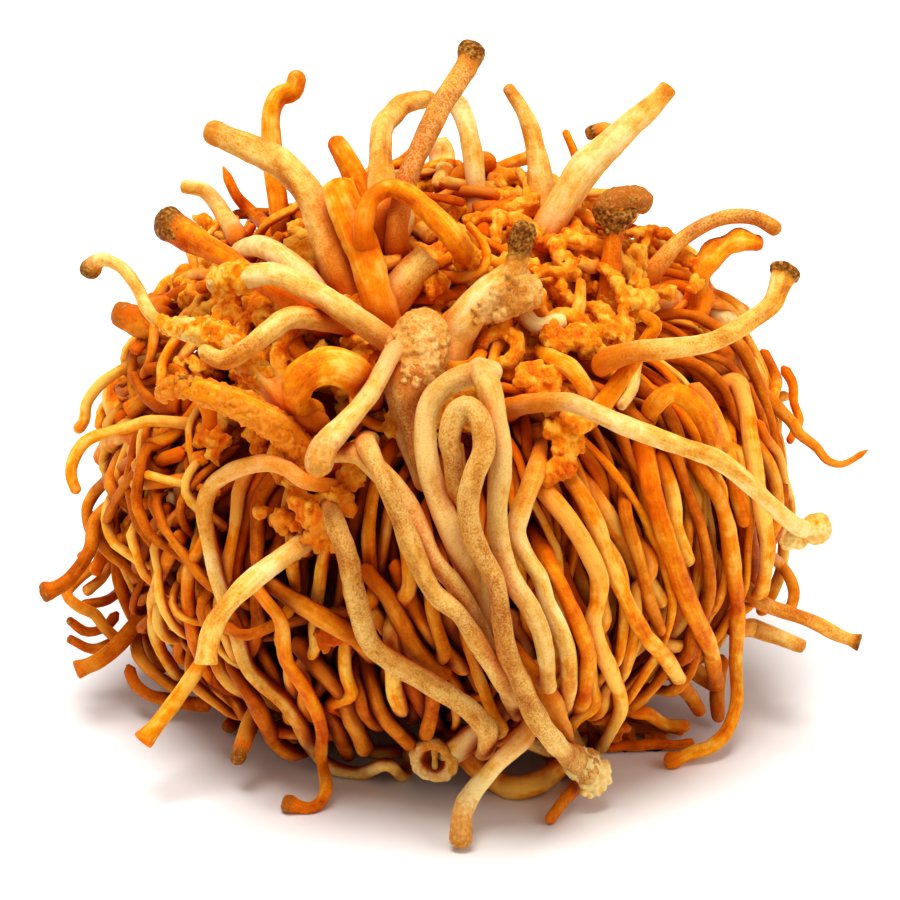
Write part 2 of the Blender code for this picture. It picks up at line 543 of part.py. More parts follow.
def heart_shape():
    """The heart before it is cut: a closed grid with a lumpy crown, just under the heap's outer face."""
    shape = bmesh.new()
    bmesh.ops.create_cube(shape, size=2)
    bmesh.ops.subdivide_edges(shape, edges=shape.edges, cuts=HEART_GRID - 1, use_grid_fill=True)
    radii = Vector((HEAP_HALF_WIDTH, HEAP_HALF_DEPTH, HEAP_HALF_HEIGHT)) - Vector((HEART_SINK,) * 3)
    for vertex in shape.verts:
        # tan evens out the grid, which crowds at a cube's corners
        even = Vector(math.tan(c * math.pi / 4) for c in vertex.co)
        way = even.normalized()
        point = MIDDLE + Vector(w * r for w, r in zip(way, radii))
        rough = noise.noise(point / HEART_LUMP_SIZE)
        vertex.co = point + way * (HEART_LUMP * rough * (LUMP_FLOOR + (1 - LUMP_FLOOR) * crown_share(point)))
    return shape


def make_room(shape, spots):
    """Presses the heart in under each (point, radius), so that the stem lies on it and not in it."""
    for _ in range(PRESS_ROUNDS):
        tree = BVHTree.FromBMesh(shape)
        shape.faces.ensure_lookup_table()
        moved = 0
        for point, radius in spots:
            where, normal, index, _ = tree.find_nearest(point)
            height = (point - where).dot(normal)
            short = radius + LAY_GAP - height
            if short > LAY_CLOSE:
                moved += 1
                for vertex in shape.faces[index].verts:
                    vertex.co -= (vertex.co - MIDDLE).normalized() * min(short * PRESS_SHARE, PRESS_MOST)
        if not moved:
            break


def clearance(point, radius, spots):
    """The narrowest space between a ball and the (point, radius) spots."""
    places, radii = spots
    return float((np.linalg.norm(places - np.array(point), axis=1) - radii).min()) - radius


def rooted_tube(points, radii, others, fused):
    """The tube with a root that turns down into the heart, as far as it stays clear of the other stems."""
    start = points[0]
    down = (MIDDLE - start).normalized()
    if fused:
        return [start + down * FUSED_PLUNGE, *points], [radii[0], *radii]
    depth = PLUNGE_STEP
    while depth < PLUNGE and clearance(start + down * depth, radii[0], others) > LAY_GAP:
        depth += PLUNGE_STEP
    depth -= PLUNGE_STEP
    if depth < 2 * PLUNGE_STEP:
        back = (start - points[1]).normalized()
        return [start + back * radii[0] * TIP_SHARE, *points], [radii[0] * TIP_SHARE, *radii]
    return [start + down * depth, *points], [radii[0], *radii]


def samples(points, radii):
    """Fine (point, radius) spots along a tube, with each spot's distance from the tube's start."""
    weights, spot_radii = Lay.between(np.array(points), np.array(radii))
    places = weights @ np.array(points)
    return places, spot_radii, along(places)


def curtain_stem(index, others):
    """One stem of the back curtain: sections from the crown down to the base, under any stem it meets."""
    share = index / (CURTAIN_STEMS - 1)
    azimuth = CURTAIN_FROM + share * (CURTAIN_TO - CURTAIN_FROM)
    wave = CURTAIN_WAVE * math.sin(index * 2.3)
    top = CURTAIN_TOP * (1 + 0.1 * math.sin(index * 1.7))
    bottom = CURTAIN_BOTTOM * (1 + 0.07 * math.cos(index * 1.1))
    heights = np.linspace(top, bottom, CURTAIN_SECTIONS)
    radius = CURTAIN_THICK * (1 + 0.12 * math.sin(index * 3.1)) / 2
    places = []
    for step, height in enumerate(heights):
        ends = step in (0, len(heights) - 1)
        out = math.sqrt(1 - height ** 2)
        turn = azimuth + wave * math.sin(step * 0.8 + index)
        sink = CURTAIN_ENDS_SINK if ends else CURTAIN_SINK
        while True:
            spot = MIDDLE + Vector(((HEAP_HALF_WIDTH - sink) * out * math.cos(turn),
                                    (HEAP_HALF_DEPTH - sink) * out * math.sin(turn),
                                    (HEAP_HALF_HEIGHT - sink) * height))
            if sink > CURTAIN_DEEPEST or clearance(spot, radius, others) > CURTAIN_SPACE:
                break
            sink += PLUNGE_STEP
        places.append(spot)
    return places, [radius] * len(places)


def cut_flat(shape):
    """Cuts the heart off at the floor and closes it with one flat face."""
    everything = shape.verts[:] + shape.edges[:] + shape.faces[:]
    made = bmesh.ops.bisect_plane(shape, geom=everything, plane_co=(0, 0, 0), plane_no=(0, 0, 1),
                                  clear_inner=True)
    rim = [item for item in made["geom_cut"] if isinstance(item, bmesh.types.BMEdge)]
    bmesh.ops.contextual_create(shape, geom=rim)
    bmesh.ops.recalc_face_normals(shape, faces=shape.faces)


def inflated(mesh):
    """A copy of the mesh, grown by the gap."""
    shape = bmesh.new()
    shape.from_mesh(mesh)
    shape.normal_update()
    grown = [vertex.co + vertex.normal * HEART_GAP for vertex in shape.verts]
    for vertex, where in zip(shape.verts, grown):
        vertex.co = where
    copy = bpy.data.meshes.new(mesh.name + "_grown")
    shape.to_mesh(copy)
    shape.free()
    return copy


def surface_tree(mesh):
    """A search tree of the mesh's faces."""
    shape = bmesh.new()
    shape.from_mesh(mesh)
    tree = BVHTree.FromBMesh(shape)
    shape.free()
    return tree


def boolean(thing, other, operation, solver="EXACT"):
    """Adds a Boolean."""
    step = thing.modifiers.new(operation.lower(), "BOOLEAN")
    step.operation = operation
    step.solver = solver
    step.object = other


def main():
    """Builds the bunch."""
    parts, cutters = start_empty()
    lay = Lay()
    tubes = {}
    for stem in STEMS:
        places, radii = sections(view_points(stem), stem.thick)
        tubes[stem.name] = (to_world(lay.add(places, radii)), radii)

    spots = {name: samples(*made) for name, made in tubes.items()}
    roots = {}
    room = []
    for stem in STEMS:
        others = [spots[name] for name in spots if name != stem.name]
        others = (np.vstack([spot[0] for spot in others]), np.concatenate([spot[1] for spot in others]))
        points, radii = rooted_tube(*tubes[stem.name], others, stem.fused)
        roots[stem.name] = (points[0] - tubes[stem.name][0][0]).length
        tubes[stem.name] = (points, radii)
        spots[stem.name] = samples(*tubes[stem.name])
        if not stem.fused:
            places, spot_radii, run = spots[stem.name]
            first = ROOTED_LENGTH + roots[stem.name]
            last = run[-1] - (ROOTED_LENGTH if stem.dives() else 0)
            room += [(Vector(p), float(r)) for p, r, d in zip(places, spot_radii, run) if first < d <= last]
    every = (np.vstack([spot[0] for spot in spots.values()]),
             np.concatenate([spot[1] for spot in spots.values()]))

    shape = heart_shape()
    make_room(shape, room)
    cut_flat(shape)
    heart_mesh = bpy.data.meshes.new("bunch_heart")
    shape.to_mesh(heart_mesh)
    shape.free()
    grown = place("grown_heart", inflated(heart_mesh), cutters, cutter=True)
    heart = place("bunch_heart", heart_mesh, parts, "crumbly_crown")
    heart_tree = surface_tree(grown.data)

    fused = [(stem.name, *tubes[stem.name]) for stem in STEMS if stem.fused]
    fused += [(f"curtain_stem_{i + 1}", *curtain_stem(i, every)) for i in range(CURTAIN_STEMS)]
    for name, points, radii in fused:
        other = place(name + "_join", tube(name, points, radii, cutters), cutters, cutter=True)
        boolean(heart, other, "UNION", "MANIFOLD")  # the exact solver loses the heart after a few of these

    for stem in STEMS:
        if stem.fused:
            continue
        mesh = tube(stem.name, *tubes[stem.name], cutters)
        thing = place(stem.name, mesh, parts, stem.finish)
        if heart_tree.overlap(surface_tree(mesh)):
            boolean(thing, grown, "DIFFERENCE")


main()
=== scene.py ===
"""The looks of a bunch of dried, cultivated cordyceps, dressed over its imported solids.

Each outer stem replaces its own solid along the same route. The crumbly crown, the tangle under the outer
stems and the fine curls between them are modelled as meshes of their own. Metres, +Z up, -Y is the front.
"""

import logging
import math
from dataclasses import dataclass, field
from enum import Enum

import bmesh
import bpy
import numpy as np
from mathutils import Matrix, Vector
from mathutils.kdtree import KDTree


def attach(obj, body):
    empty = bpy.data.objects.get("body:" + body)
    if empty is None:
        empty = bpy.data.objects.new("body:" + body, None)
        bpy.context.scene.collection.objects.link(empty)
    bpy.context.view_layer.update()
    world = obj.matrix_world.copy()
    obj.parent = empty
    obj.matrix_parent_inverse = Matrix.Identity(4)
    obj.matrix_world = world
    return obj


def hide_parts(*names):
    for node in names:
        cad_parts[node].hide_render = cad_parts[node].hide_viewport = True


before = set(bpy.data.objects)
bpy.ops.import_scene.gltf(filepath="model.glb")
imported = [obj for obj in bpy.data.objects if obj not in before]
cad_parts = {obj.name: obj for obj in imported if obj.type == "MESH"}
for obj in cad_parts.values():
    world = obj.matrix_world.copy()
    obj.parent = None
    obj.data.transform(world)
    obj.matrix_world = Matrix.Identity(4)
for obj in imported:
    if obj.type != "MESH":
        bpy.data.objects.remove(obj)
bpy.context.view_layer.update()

LOG = logging.getLogger("cordyceps_bunch")
MM = 0.001

# The heap that the stems lie on: an ellipsoid, cut off flat underneath.
HEAP_HALF_WIDTH = 50.0 * MM
HEAP_HALF_DEPTH = 48.0 * MM
HEAP_HALF_HEIGHT = 43.0 * MM
HEAP_MIDDLE = 35.0 * MM
HEAP_HALVES = np.array([HEAP_HALF_WIDTH, HEAP_HALF_DEPTH, HEAP_HALF_HEIGHT])
MIDDLE = np.array([0.0, 0.0, HEAP_MIDDLE])

# How stems lie over each other, as in the solids
ROUTE_STEP = 6.6 * MM
TIP_LENGTH = 0.8
GAP = 0.3 * MM
LAY_GAP = 0.45 * MM
LAY_EASE = 4
LAY_ROUNDS = 400
LAY_SHARE = 0.6
LAY_CLOSE = 0.02 * MM
SPOTS_PER_SPAN = 6

# Routes are read in the frame of a viewer who looks at the heap's middle from the front, tilted down.
VIEW_TILT = math.radians(25)
VIEW_DISTANCE = 700.0 * MM
VIEW_STEP = 0.1455 * MM
VIEW_MIDDLE_X = 450
VIEW_MIDDLE_Y = 470
VIEW_WIDTH = 900
VIEW_RIGHT = np.array([1.0, 0.0, 0.0])
VIEW_UP = np.array([0.0, math.sin(VIEW_TILT), math.cos(VIEW_TILT)])
VIEW_NEAR = np.array([0.0, -math.cos(VIEW_TILT), math.sin(VIEW_TILT)])
VIEW_AXES = np.vstack([VIEW_RIGHT, VIEW_UP, VIEW_NEAR])

Array = np.ndarray


class Finish(Enum):
    """The finishes of the bunch, named as the record's material slots."""

    ORANGE = "orange_flesh"
    PALE = "pale_flesh"
    POWDERY = "powdery_flesh"
    AMBER = "amber_flesh"
    CROWN = "crumbly_crown"


ORANGE, PALE, POWDERY, AMBER, CROWN = Finish  # as the tables of stems name them


class Tip(Enum):
    """How a stem ends: rows of (distance past the shaft, radius), both in shaft radii."""

    ROUND = ((0.0, 1.0), (0.35, 0.94), (0.62, 0.78), (0.82, 0.55), (0.94, 0.3), (1.0, 0.06))
    KNOB = ((0.0, 1.0), (0.3, 0.97), (0.58, 0.85), (0.76, 0.66), (0.84, 0.4), (0.86, 0.08))
    CUT = ((0.0, 1.0), (0.12, 0.97), (0.2, 0.86), (0.16, 0.62), (0.08, 0.36), (0.05, 0.05))
    BROKEN = ((0.0, 1.0), (0.25, 0.92), (0.5, 0.72), (0.42, 0.5), (0.62, 0.26), (0.5, 0.05))
    POINT = ((0.0, 1.0), (0.8, 0.78), (1.7, 0.5), (2.4, 0.28), (2.8, 0.06))
    HOLLOW = ((0.0, 1.0), (0.16, 0.97), (0.2, 0.84), (0.02, 0.7), (-0.7, 0.55), (-1.3, 0.4), (-1.5, 0.05))
    CUP = ((0.0, 1.0), (0.14, 0.98), (0.26, 0.9), (0.3, 0.76), (0.25, 0.6), (0.12, 0.49), (-0.2, 0.42),
           (-0.6, 0.05))


@dataclass(frozen=True)
class Ending:
    """How a stem's free end looks.

    knob is the end's radius as a share of the shaft's, swelling over the last reach mm. browning runs from
    0, plain, over 0.4, deep orange, to 1, dried brown, and fades over fade mm. crumble is its lumps' height.
    """

    tip: Tip = Tip.ROUND
    knob: float = 1.0
    reach: float = 1.5
    browning: float = 0.3
    fade: float = 2.6
    crumble: float = 0.05


@dataclass(frozen=True)
class Surface:
    """Relief of a stem's skin, as shares of its radius, and its flattening."""

    lumps: float = 0.11
    lump_mm: float = 3.6
    furrows: float = 0.08
    furrow_mm: float = 1.1
    flat: float = 0.08


@dataclass(frozen=True)
class Stem:
    """One stem, from where it grows to its tip.

    route holds (x, y) or (x, y, lift) in view steps, lift in mm over the heap's outer face. thick holds the
    thickness in mm at even distances along it. A stem with a lean stands: it starts sink mm under the heap's
    face and ends lean mm nearer the viewer, bowed in between. A fused stem grows from the heart's own solid.
    tone is below 0 where it is darker than its finish, and above where it is paler.
    """

    name: str
    finish: Finish
    route: tuple
    thick: tuple
    sink: float = 0.0
    lean: float | None = None
    bow: float = 0.0
    fused: bool = False
    ending: Ending = Ending()
    surface: Surface = Surface()
    tone: float | None = None


# Back to front: each stem lies over the ones before it.
REAR_CROWN: tuple[Stem, ...] = (
    Stem("short_horn", ORANGE, ((372, 210), (348, 164), (333, 139)), (3.5, 3.5, 2.6), sink=4, lean=-3,
         fused=True),
    Stem("pale_orange_stub", PALE, ((370, 292), (390, 245), (406, 210)), (4.2, 4.0, 3.7), sink=2, lean=-3,
         fused=True, ending=Ending(browning=0.1)),
    Stem("thick_cream_stub", PALE, ((372, 325), (408, 280), (436, 249)), (5.2, 5.2, 4.6), sink=2, lean=0,
         fused=True, ending=Ending(Tip.CUT, browning=0.05)),
    Stem("orange_cone", ORANGE, ((330, 466, -3), (310, 432, 2), (299, 400, 5)), (5.0, 4.6, 3.3), fused=True),
    Stem("hooked_horn", ORANGE, ((283, 232), (275, 180), (272, 145), (271, 116), (278, 97), (293, 90),
         (298, 72)), (3.1, 2.9, 2.7, 2.7, 2.8, 2.9, 2.6), sink=7, lean=-3),
    Stem("back_branch", PALE, ((383, 205), (381, 137), (393, 115), (406, 103), (433, 98)),
         (3.9, 3.5, 3.1, 3.0, 2.8), sink=6, lean=-6, fused=True),
    Stem("yellow_horn", PALE, ((476, 205), (474, 165), (466, 125), (454, 98)), (3.3, 3.1, 2.9, 2.6), sink=5,
         lean=-5, fused=True),
    Stem("tall_horn", PALE, ((399, 212), (409, 174), (424, 140), (440, 108), (462, 74), (469, 60),
         (472, 44)), (3.2, 3.1, 2.9, 2.9, 2.9, 3.0, 3.3), sink=3, lean=2,
         ending=Ending(Tip.KNOB, 1.2, 2.4, 0.8, 5.0, 0.1), tone=-2.4),
    Stem("rear_horn", PALE, ((541, 215), (539, 169), (532, 133), (522, 109), (507, 86)),
         (4.0, 3.7, 2.9, 2.3, 1.7), sink=4, lean=-2, ending=Ending(browning=0.45, fade=4.0), tone=-0.3),
    Stem("big_pale_horn", PALE, ((555, 215), (581, 174), (606, 148), (632, 123), (654, 104), (672, 84)),
         (5.0, 4.8, 4.3, 3.9, 3.3, 2.4), sink=3, lean=0, ending=Ending(Tip.CUT, 1.1, 1.5, 0.35, 2.2),
         surface=Surface(0.08, 2.6, 0.09, 1.2, 0.05), tone=0.1),
    Stem("left_big_horn", PALE, ((340, 275), (329, 241), (315, 204), (285, 167), (249, 147), (207, 130)),
         (5.0, 5.0, 4.6, 4.0, 3.7, 3.1), sink=4, lean=-2, bow=2,
         ending=Ending(Tip.KNOB, 1.08, 1.6, 0.35, 2.0)),
    Stem("second_horn", ORANGE, ((374, 285), (366, 255), (351, 219), (334, 179)), (4.8, 4.8, 4.6, 3.9),
         sink=4, lean=0, ending=Ending(Tip.BROKEN, 1.0, 1.5, 0.0, 1.0, 0.12), tone=0.2),
    Stem("orange_arch", ORANGE, ((366, 214, -5), (372, 198, 1), (390, 189, 5), (413, 197, 6), (435, 217, 5),
         (454, 239, 3), (468, 258, -4)), (2.6, 2.8, 2.8, 2.9, 3.3, 3.3, 3.1),
         ending=Ending(Tip.BROKEN, 1.1, 2.0, 0.1, 1.0, 0.2), surface=Surface(0.13, 2.8, 0.06, 1.0, 0.06)),
    Stem("right_upper_horn", PALE, ((655, 268), (678, 242), (702, 226), (728, 217), (755, 218), (779, 231)),
         (2.8, 2.4, 2.3, 2.2, 2.3, 2.0), sink=5, lean=-2, ending=Ending(Tip.ROUND, 1.05, 2.0, 0.5, 1.6),
         tone=-1.6),
    Stem("ragged_leaf", ORANGE, ((698, 300), (704, 272), (718, 250), (738, 240), (763, 244)),
         (3.1, 3.3, 3.5, 3.1, 2.0), sink=4, lean=-2, ending=Ending(Tip.BROKEN, 1.2, 2.0, 0.2, 1.0, 0.2),
         surface=Surface(0.36, 2.6, 0.24, 1.4, 0.4), tone=-0.9),
    Stem("brown_capped_stub", ORANGE, ((611, 290), (612, 255), (616, 225), (621, 206), (628, 190)),
         (3.1, 2.9, 2.9, 6.3, 5.2), sink=4, lean=2, ending=Ending(Tip.ROUND, 0.5, 8.0, 0.3, 6.0, 0.08),
         surface=Surface(0.16, 3.4, 0.1, 1.0, 0.12)),
)

FRONT_CROWN: tuple[Stem, ...] = (
    Stem("pale_arch", PALE, ((326, 304, -4), (313, 287, 1), (298, 270, 4), (281, 256, 6), (260, 247, 6),
         (238, 251, 4)), (3.3, 3.3, 3.3, 3.3, 3.2, 2.9), ending=Ending(Tip.HOLLOW, 1.0, 1.5, 0.2, 1.6)),
    Stem("knobbed_stem", ORANGE, ((292, 300), (242, 270), (229, 259), (199, 243), (180, 231), (160, 220)),
         (3.1, 2.9, 2.8, 2.9, 4.0, 3.9), sink=4, lean=-4,
         ending=Ending(Tip.KNOB, 1.12, 2.0, 0.75, 6.0, 0.08), tone=-0.9),
    Stem("ball_tipped_stem", AMBER, ((205, 345), (175, 335), (145, 328), (131, 318), (116, 312)),
         (2.4, 2.1, 2.0, 3.7, 3.3), sink=4, lean=-4, ending=Ending(Tip.KNOB, 1.1, 2.0, 0.55, 3.6, 0.1)),
    Stem("hooked_left_stem", PALE, ((285, 402), (247, 362), (218, 336), (188, 329), (164, 324), (148, 310),
         (138, 288), (122, 268), (101, 260), (86, 274)), (3.3, 3.7, 4.0, 4.4, 3.1, 2.0, 1.9, 1.9, 2.0, 2.3),
         sink=3, lean=-6, bow=5, ending=Ending(Tip.KNOB, 1.2, 2.2, 0.72, 3.2, 0.12),
         surface=Surface(0.14, 3.0, 0.14, 1.1, 0.06), tone=-0.3),
    Stem("pale_curl", PALE, ((335, 322), (293, 317), (271, 330), (249, 347), (224, 360), (201, 350)),
         (2.8, 2.7, 2.7, 2.7, 2.6, 2.2), sink=2, lean=0, bow=4, ending=Ending(browning=0.1)),
    Stem("big_pale_stem", PALE, ((400, 356), (388, 342), (345, 312), (310, 290), (275, 275), (240, 277),
         (211, 285)), (3.3, 3.2, 3.1, 3.1, 3.1, 3.5, 3.5), sink=0, lean=-6, bow=4,
         ending=Ending(Tip.BROKEN, 1.1, 3.0, 0.3, 4.0, 0.16), surface=Surface(0.12, 3.4, 0.06, 1.0, 0.06)),
    Stem("ribbed_stem", ORANGE, ((304, 455), (283, 431), (250, 411), (222, 398), (192, 388), (173, 386),
         (158, 398)), (4.0, 4.0, 4.0, 3.9, 3.5, 2.9, 2.0), sink=3, lean=4, bow=4,
         ending=Ending(Tip.ROUND, 1.0, 1.5, 0.3, 4.0, 0.1), surface=Surface(0.12, 2.6, 0.5, 1.5, 0.05),
         tone=-0.6),
    Stem("orange_hook", ORANGE, ((372, 402, -5), (365, 388, 1), (352, 374, 5), (333, 366, 6), (312, 370, 6),
         (299, 382, 5), (296, 400, -2)), (3.1, 4.0, 4.6, 5.0, 4.8, 4.2, 3.3),
         surface=Surface(0.1, 4.0, 0.04, 1.2, 0.05), tone=-0.5),
    Stem("orange_bow", ORANGE, ((538, 352, -5), (553, 359, 2), (571, 369, 4), (585, 388, 3), (594, 410, -4)),
         (2.6, 2.7, 2.8, 2.7, 2.6)),
    Stem("right_hook", ORANGE, ((604, 402), (620, 380), (636, 357), (648, 338), (655, 324), (641, 313)),
         (2.8, 2.6, 2.3, 2.1, 2.0, 1.7), sink=3, lean=8),
    Stem("brown_tipped_stem", PALE, ((452, 362), (460, 328), (487, 294), (512, 270), (519, 250), (526, 224)),
         (4.8, 4.8, 4.4, 3.5, 3.1, 2.9), sink=2, lean=4, ending=Ending(Tip.KNOB, 1.16, 1.6, 0.85, 9.0, 0.14),
         tone=0.2),
    Stem("disc_tipped_horn", PALE, ((640, 352), (666, 349), (695, 346), (725, 336), (750, 321), (771, 305),
         (781, 283), (788, 263)), (2.8, 2.6, 2.5, 2.4, 2.4, 2.5, 2.7, 4.0), sink=4, lean=10,
         ending=Ending(Tip.CUT, 1.32, 0.9, 1.0, 1.7, 0.12), tone=-0.7),
)

LEFT_CURTAIN: tuple[Stem, ...] = (
    Stem("far_left_stub", AMBER, ((118, 500), (96, 520), (90, 549), (74, 574), (59, 587), (40, 594)),
         (2.4, 2.1, 2.0, 2.0, 2.1, 2.2), sink=4, lean=0,
         ending=Ending(Tip.BROKEN, 1.3, 1.5, 0.6, 2.0, 0.14)),
    Stem("left_thin_hook", ORANGE, ((165, 358), (142, 362), (123, 369), (101, 384), (87, 402), (84, 420),
         (76, 432)), (1.8, 1.7, 1.7, 1.7, 1.7, 1.7, 2.0), sink=4, lean=-2),
    Stem("left_yellow_stem", ORANGE, ((200, 425), (152, 421), (130, 427), (108, 432), (86, 441), (74, 458),
         (71, 475), (77, 493)), (2.0, 1.8, 1.7, 1.7, 1.7, 1.7, 1.7, 1.6), sink=3, lean=0),
    Stem("lower_left_twig", AMBER, ((135, 625), (118, 645), (98, 661), (72, 672)), (2.4, 2.3, 2.2, 2.2),
         sink=4, lean=2, ending=Ending(Tip.CUT, 1.25, 1.6, 0.5, 1.6)),
    Stem("outer_left_loop", ORANGE, ((188, 528, -5), (177, 542, 1), (159, 579, 2), (154, 612, 2),
         (159, 645, 2), (176, 674, -4)), (2.0, 2.0, 2.1, 2.1, 2.0, 1.9)),
    Stem("left_long_stem", ORANGE, ((212, 522, -5), (204, 540, 0), (189, 571, 2), (189, 608, 2),
         (196, 645, 2), (215, 682, 1), (250, 716, -4)), (2.0, 2.1, 2.1, 2.1, 2.1, 2.0, 1.9)),
    Stem("splayed_cut_stem", ORANGE, ((205, 655), (190, 680), (162, 718), (139, 745)), (2.2, 2.3, 2.4, 2.7),
         sink=3, lean=4, ending=Ending(Tip.CUT, 1.15, 2.4, 0.35, 2.0, 0.08)),
    Stem("brown_finger", AMBER, ((262, 700), (250, 724), (242, 745), (236, 763)), (2.6, 2.6, 2.5, 2.3),
         sink=3, lean=2, ending=Ending(browning=0.7, fade=4.0)),
    Stem("edge_stem", AMBER, ((236, 672, -4), (250, 694, 0), (262, 716, 1), (274, 738, 1), (290, 752, 1),
         (306, 750, -2)), (2.2, 2.3, 2.3, 2.3, 2.2, 2.0)),
    Stem("twisted_stem", AMBER, ((268, 580, -4), (285, 594, 1), (315, 613, 3), (352, 635, 1),
         (372, 655, -4)), (2.6, 2.6, 2.7, 2.5, 2.3)),
    Stem("arched_stem", PALE, ((346, 492, -5), (330, 486, 0), (307, 482, 3), (285, 468, 4), (263, 463, 5),
         (234, 470, 5), (212, 486, 4), (204, 510, 4), (209, 540, 3), (216, 574, 3), (226, 606, 2),
         (237, 634, 2), (246, 664, 2), (262, 684, 2), (284, 702, 2), (298, 722, 2), (312, 748, 2),
         (334, 768, 2), (362, 773, 2), (386, 764, 1), (402, 776, -3)), (2.1, 2.1, 2.1, 2.2, 2.2, 2.2, 2.2,
         2.2, 2.2, 2.2, 2.2, 2.2, 2.2, 2.2, 2.2, 2.2, 2.2, 2.1, 2.1, 2.0, 1.9)),
    Stem("bottom_hook_stem", ORANGE, ((255, 585, -4), (267, 602, 1), (281, 622, 2), (286, 659, 3),
         (306, 690, 3), (321, 727, 3), (321, 757, 3), (326, 790, 3), (312, 808, 3), (284, 803, 3)),
         (2.0, 2.0, 2.1, 2.1, 2.0, 1.9, 1.8, 1.8, 1.9, 2.2),
         ending=Ending(Tip.KNOB, 1.3, 1.4, 0.6, 1.6, 0.1)),
    Stem("hollow_cut_stem", PALE, ((496, 716, -2), (482, 728, 0), (468, 740, 1), (452, 752, 2),
         (440, 762, 4), (434, 766, 7)), (3.1, 3.3, 3.6, 4.0, 4.6, 5.3),
         ending=Ending(Tip.ROUND, 0.62, 5.0, 0.05, 1.2, 0.06)),
    Stem("swan_stem", POWDERY, ((330, 508, -4), (336, 526, 2), (348, 559, 4), (357, 602, 4), (368, 640, 4),
         (391, 661, 4), (421, 679, 4), (452, 698, 4), (474, 714, 3), (488, 732, 2), (485, 752, -3)),
         (2.8, 2.8, 2.9, 2.9, 2.8, 2.8, 2.8, 2.8, 2.7, 2.6)),
    Stem("long_pale_stem", PALE, ((306, 540), (256, 578), (220, 614), (208, 645), (206, 670)),
         (2.7, 2.7, 2.8, 2.7, 2.8), sink=-2, lean=7, bow=2, ending=Ending(Tip.CUT, 1.06, 1.2, 0.12, 1.0),
         tone=-0.2),
)

RIGHT_CURTAIN: tuple[Stem, ...] = (
    Stem("right_tail", AMBER, ((770, 400), (790, 420), (800, 434), (816, 447), (827, 460), (843, 464),
         (863, 453)), (2.0, 1.7, 1.6, 1.4, 1.2, 1.0, 0.9), sink=4, lean=0,
         ending=Ending(Tip.POINT, browning=0.4)),
    Stem("right_double_stub", PALE, ((750, 592), (766, 605), (809, 620), (840, 636), (864, 644)),
         (2.3, 2.2, 2.1, 2.0, 2.1), sink=3, lean=2, ending=Ending(Tip.HOLLOW, 1.25, 1.4, 0.75, 2.0)),
    Stem("right_edge_stem", ORANGE, ((722, 384, -5), (738, 383, 0), (746, 409, 1), (752, 450, 1),
         (760, 500, 1), (768, 548, 1), (762, 590, -4)), (2.3, 2.3, 2.3, 2.2, 2.2, 2.2, 2.1)),
    Stem("right_hanging_stem", ORANGE, ((690, 455, -5), (701, 472, 0), (719, 499, 1), (727, 528, 1),
         (733, 567, 1), (738, 612, 1), (736, 660, 1), (737, 700, 1), (728, 729, 1), (712, 746, 1),
         (692, 753, 1), (668, 763, 1)), (2.3, 2.3, 2.3, 2.3, 2.1, 2.0, 2.0, 1.9, 1.9, 1.9, 1.9, 1.8),
         ending=Ending(Tip.KNOB, 1.5, 1.5, 0.4, 2.0, 0.1)),
    Stem("right_inner_stem", ORANGE, ((640, 440, -5), (645, 458, 0), (649, 477, 2), (654, 499, 2),
         (663, 529, 2), (674, 562, 2), (690, 604, 2), (703, 632, 2), (712, 657, 1), (716, 684, -4)),
         (2.6, 2.6, 2.6, 2.6, 2.6, 2.6, 2.5, 2.4, 2.4, 2.3)),
    Stem("right_bent_stem", ORANGE, ((556, 460, -5), (569, 477, 0), (588, 507, 2), (603, 543, 2),
         (619, 584, 3), (632, 612, 3), (647, 638, 3), (664, 656, 3), (680, 680, 2)),
         (2.2, 2.2, 2.3, 2.3, 2.3, 2.3, 2.2, 2.2, 2.0)),
    Stem("right_curled_stem", ORANGE, ((648, 418, -4), (655, 404, 2), (672, 392, 4), (694, 405, 4),
         (709, 430, 3), (716, 462, -3)), (2.6, 2.7, 2.8, 2.8, 2.8, 2.6)),
)

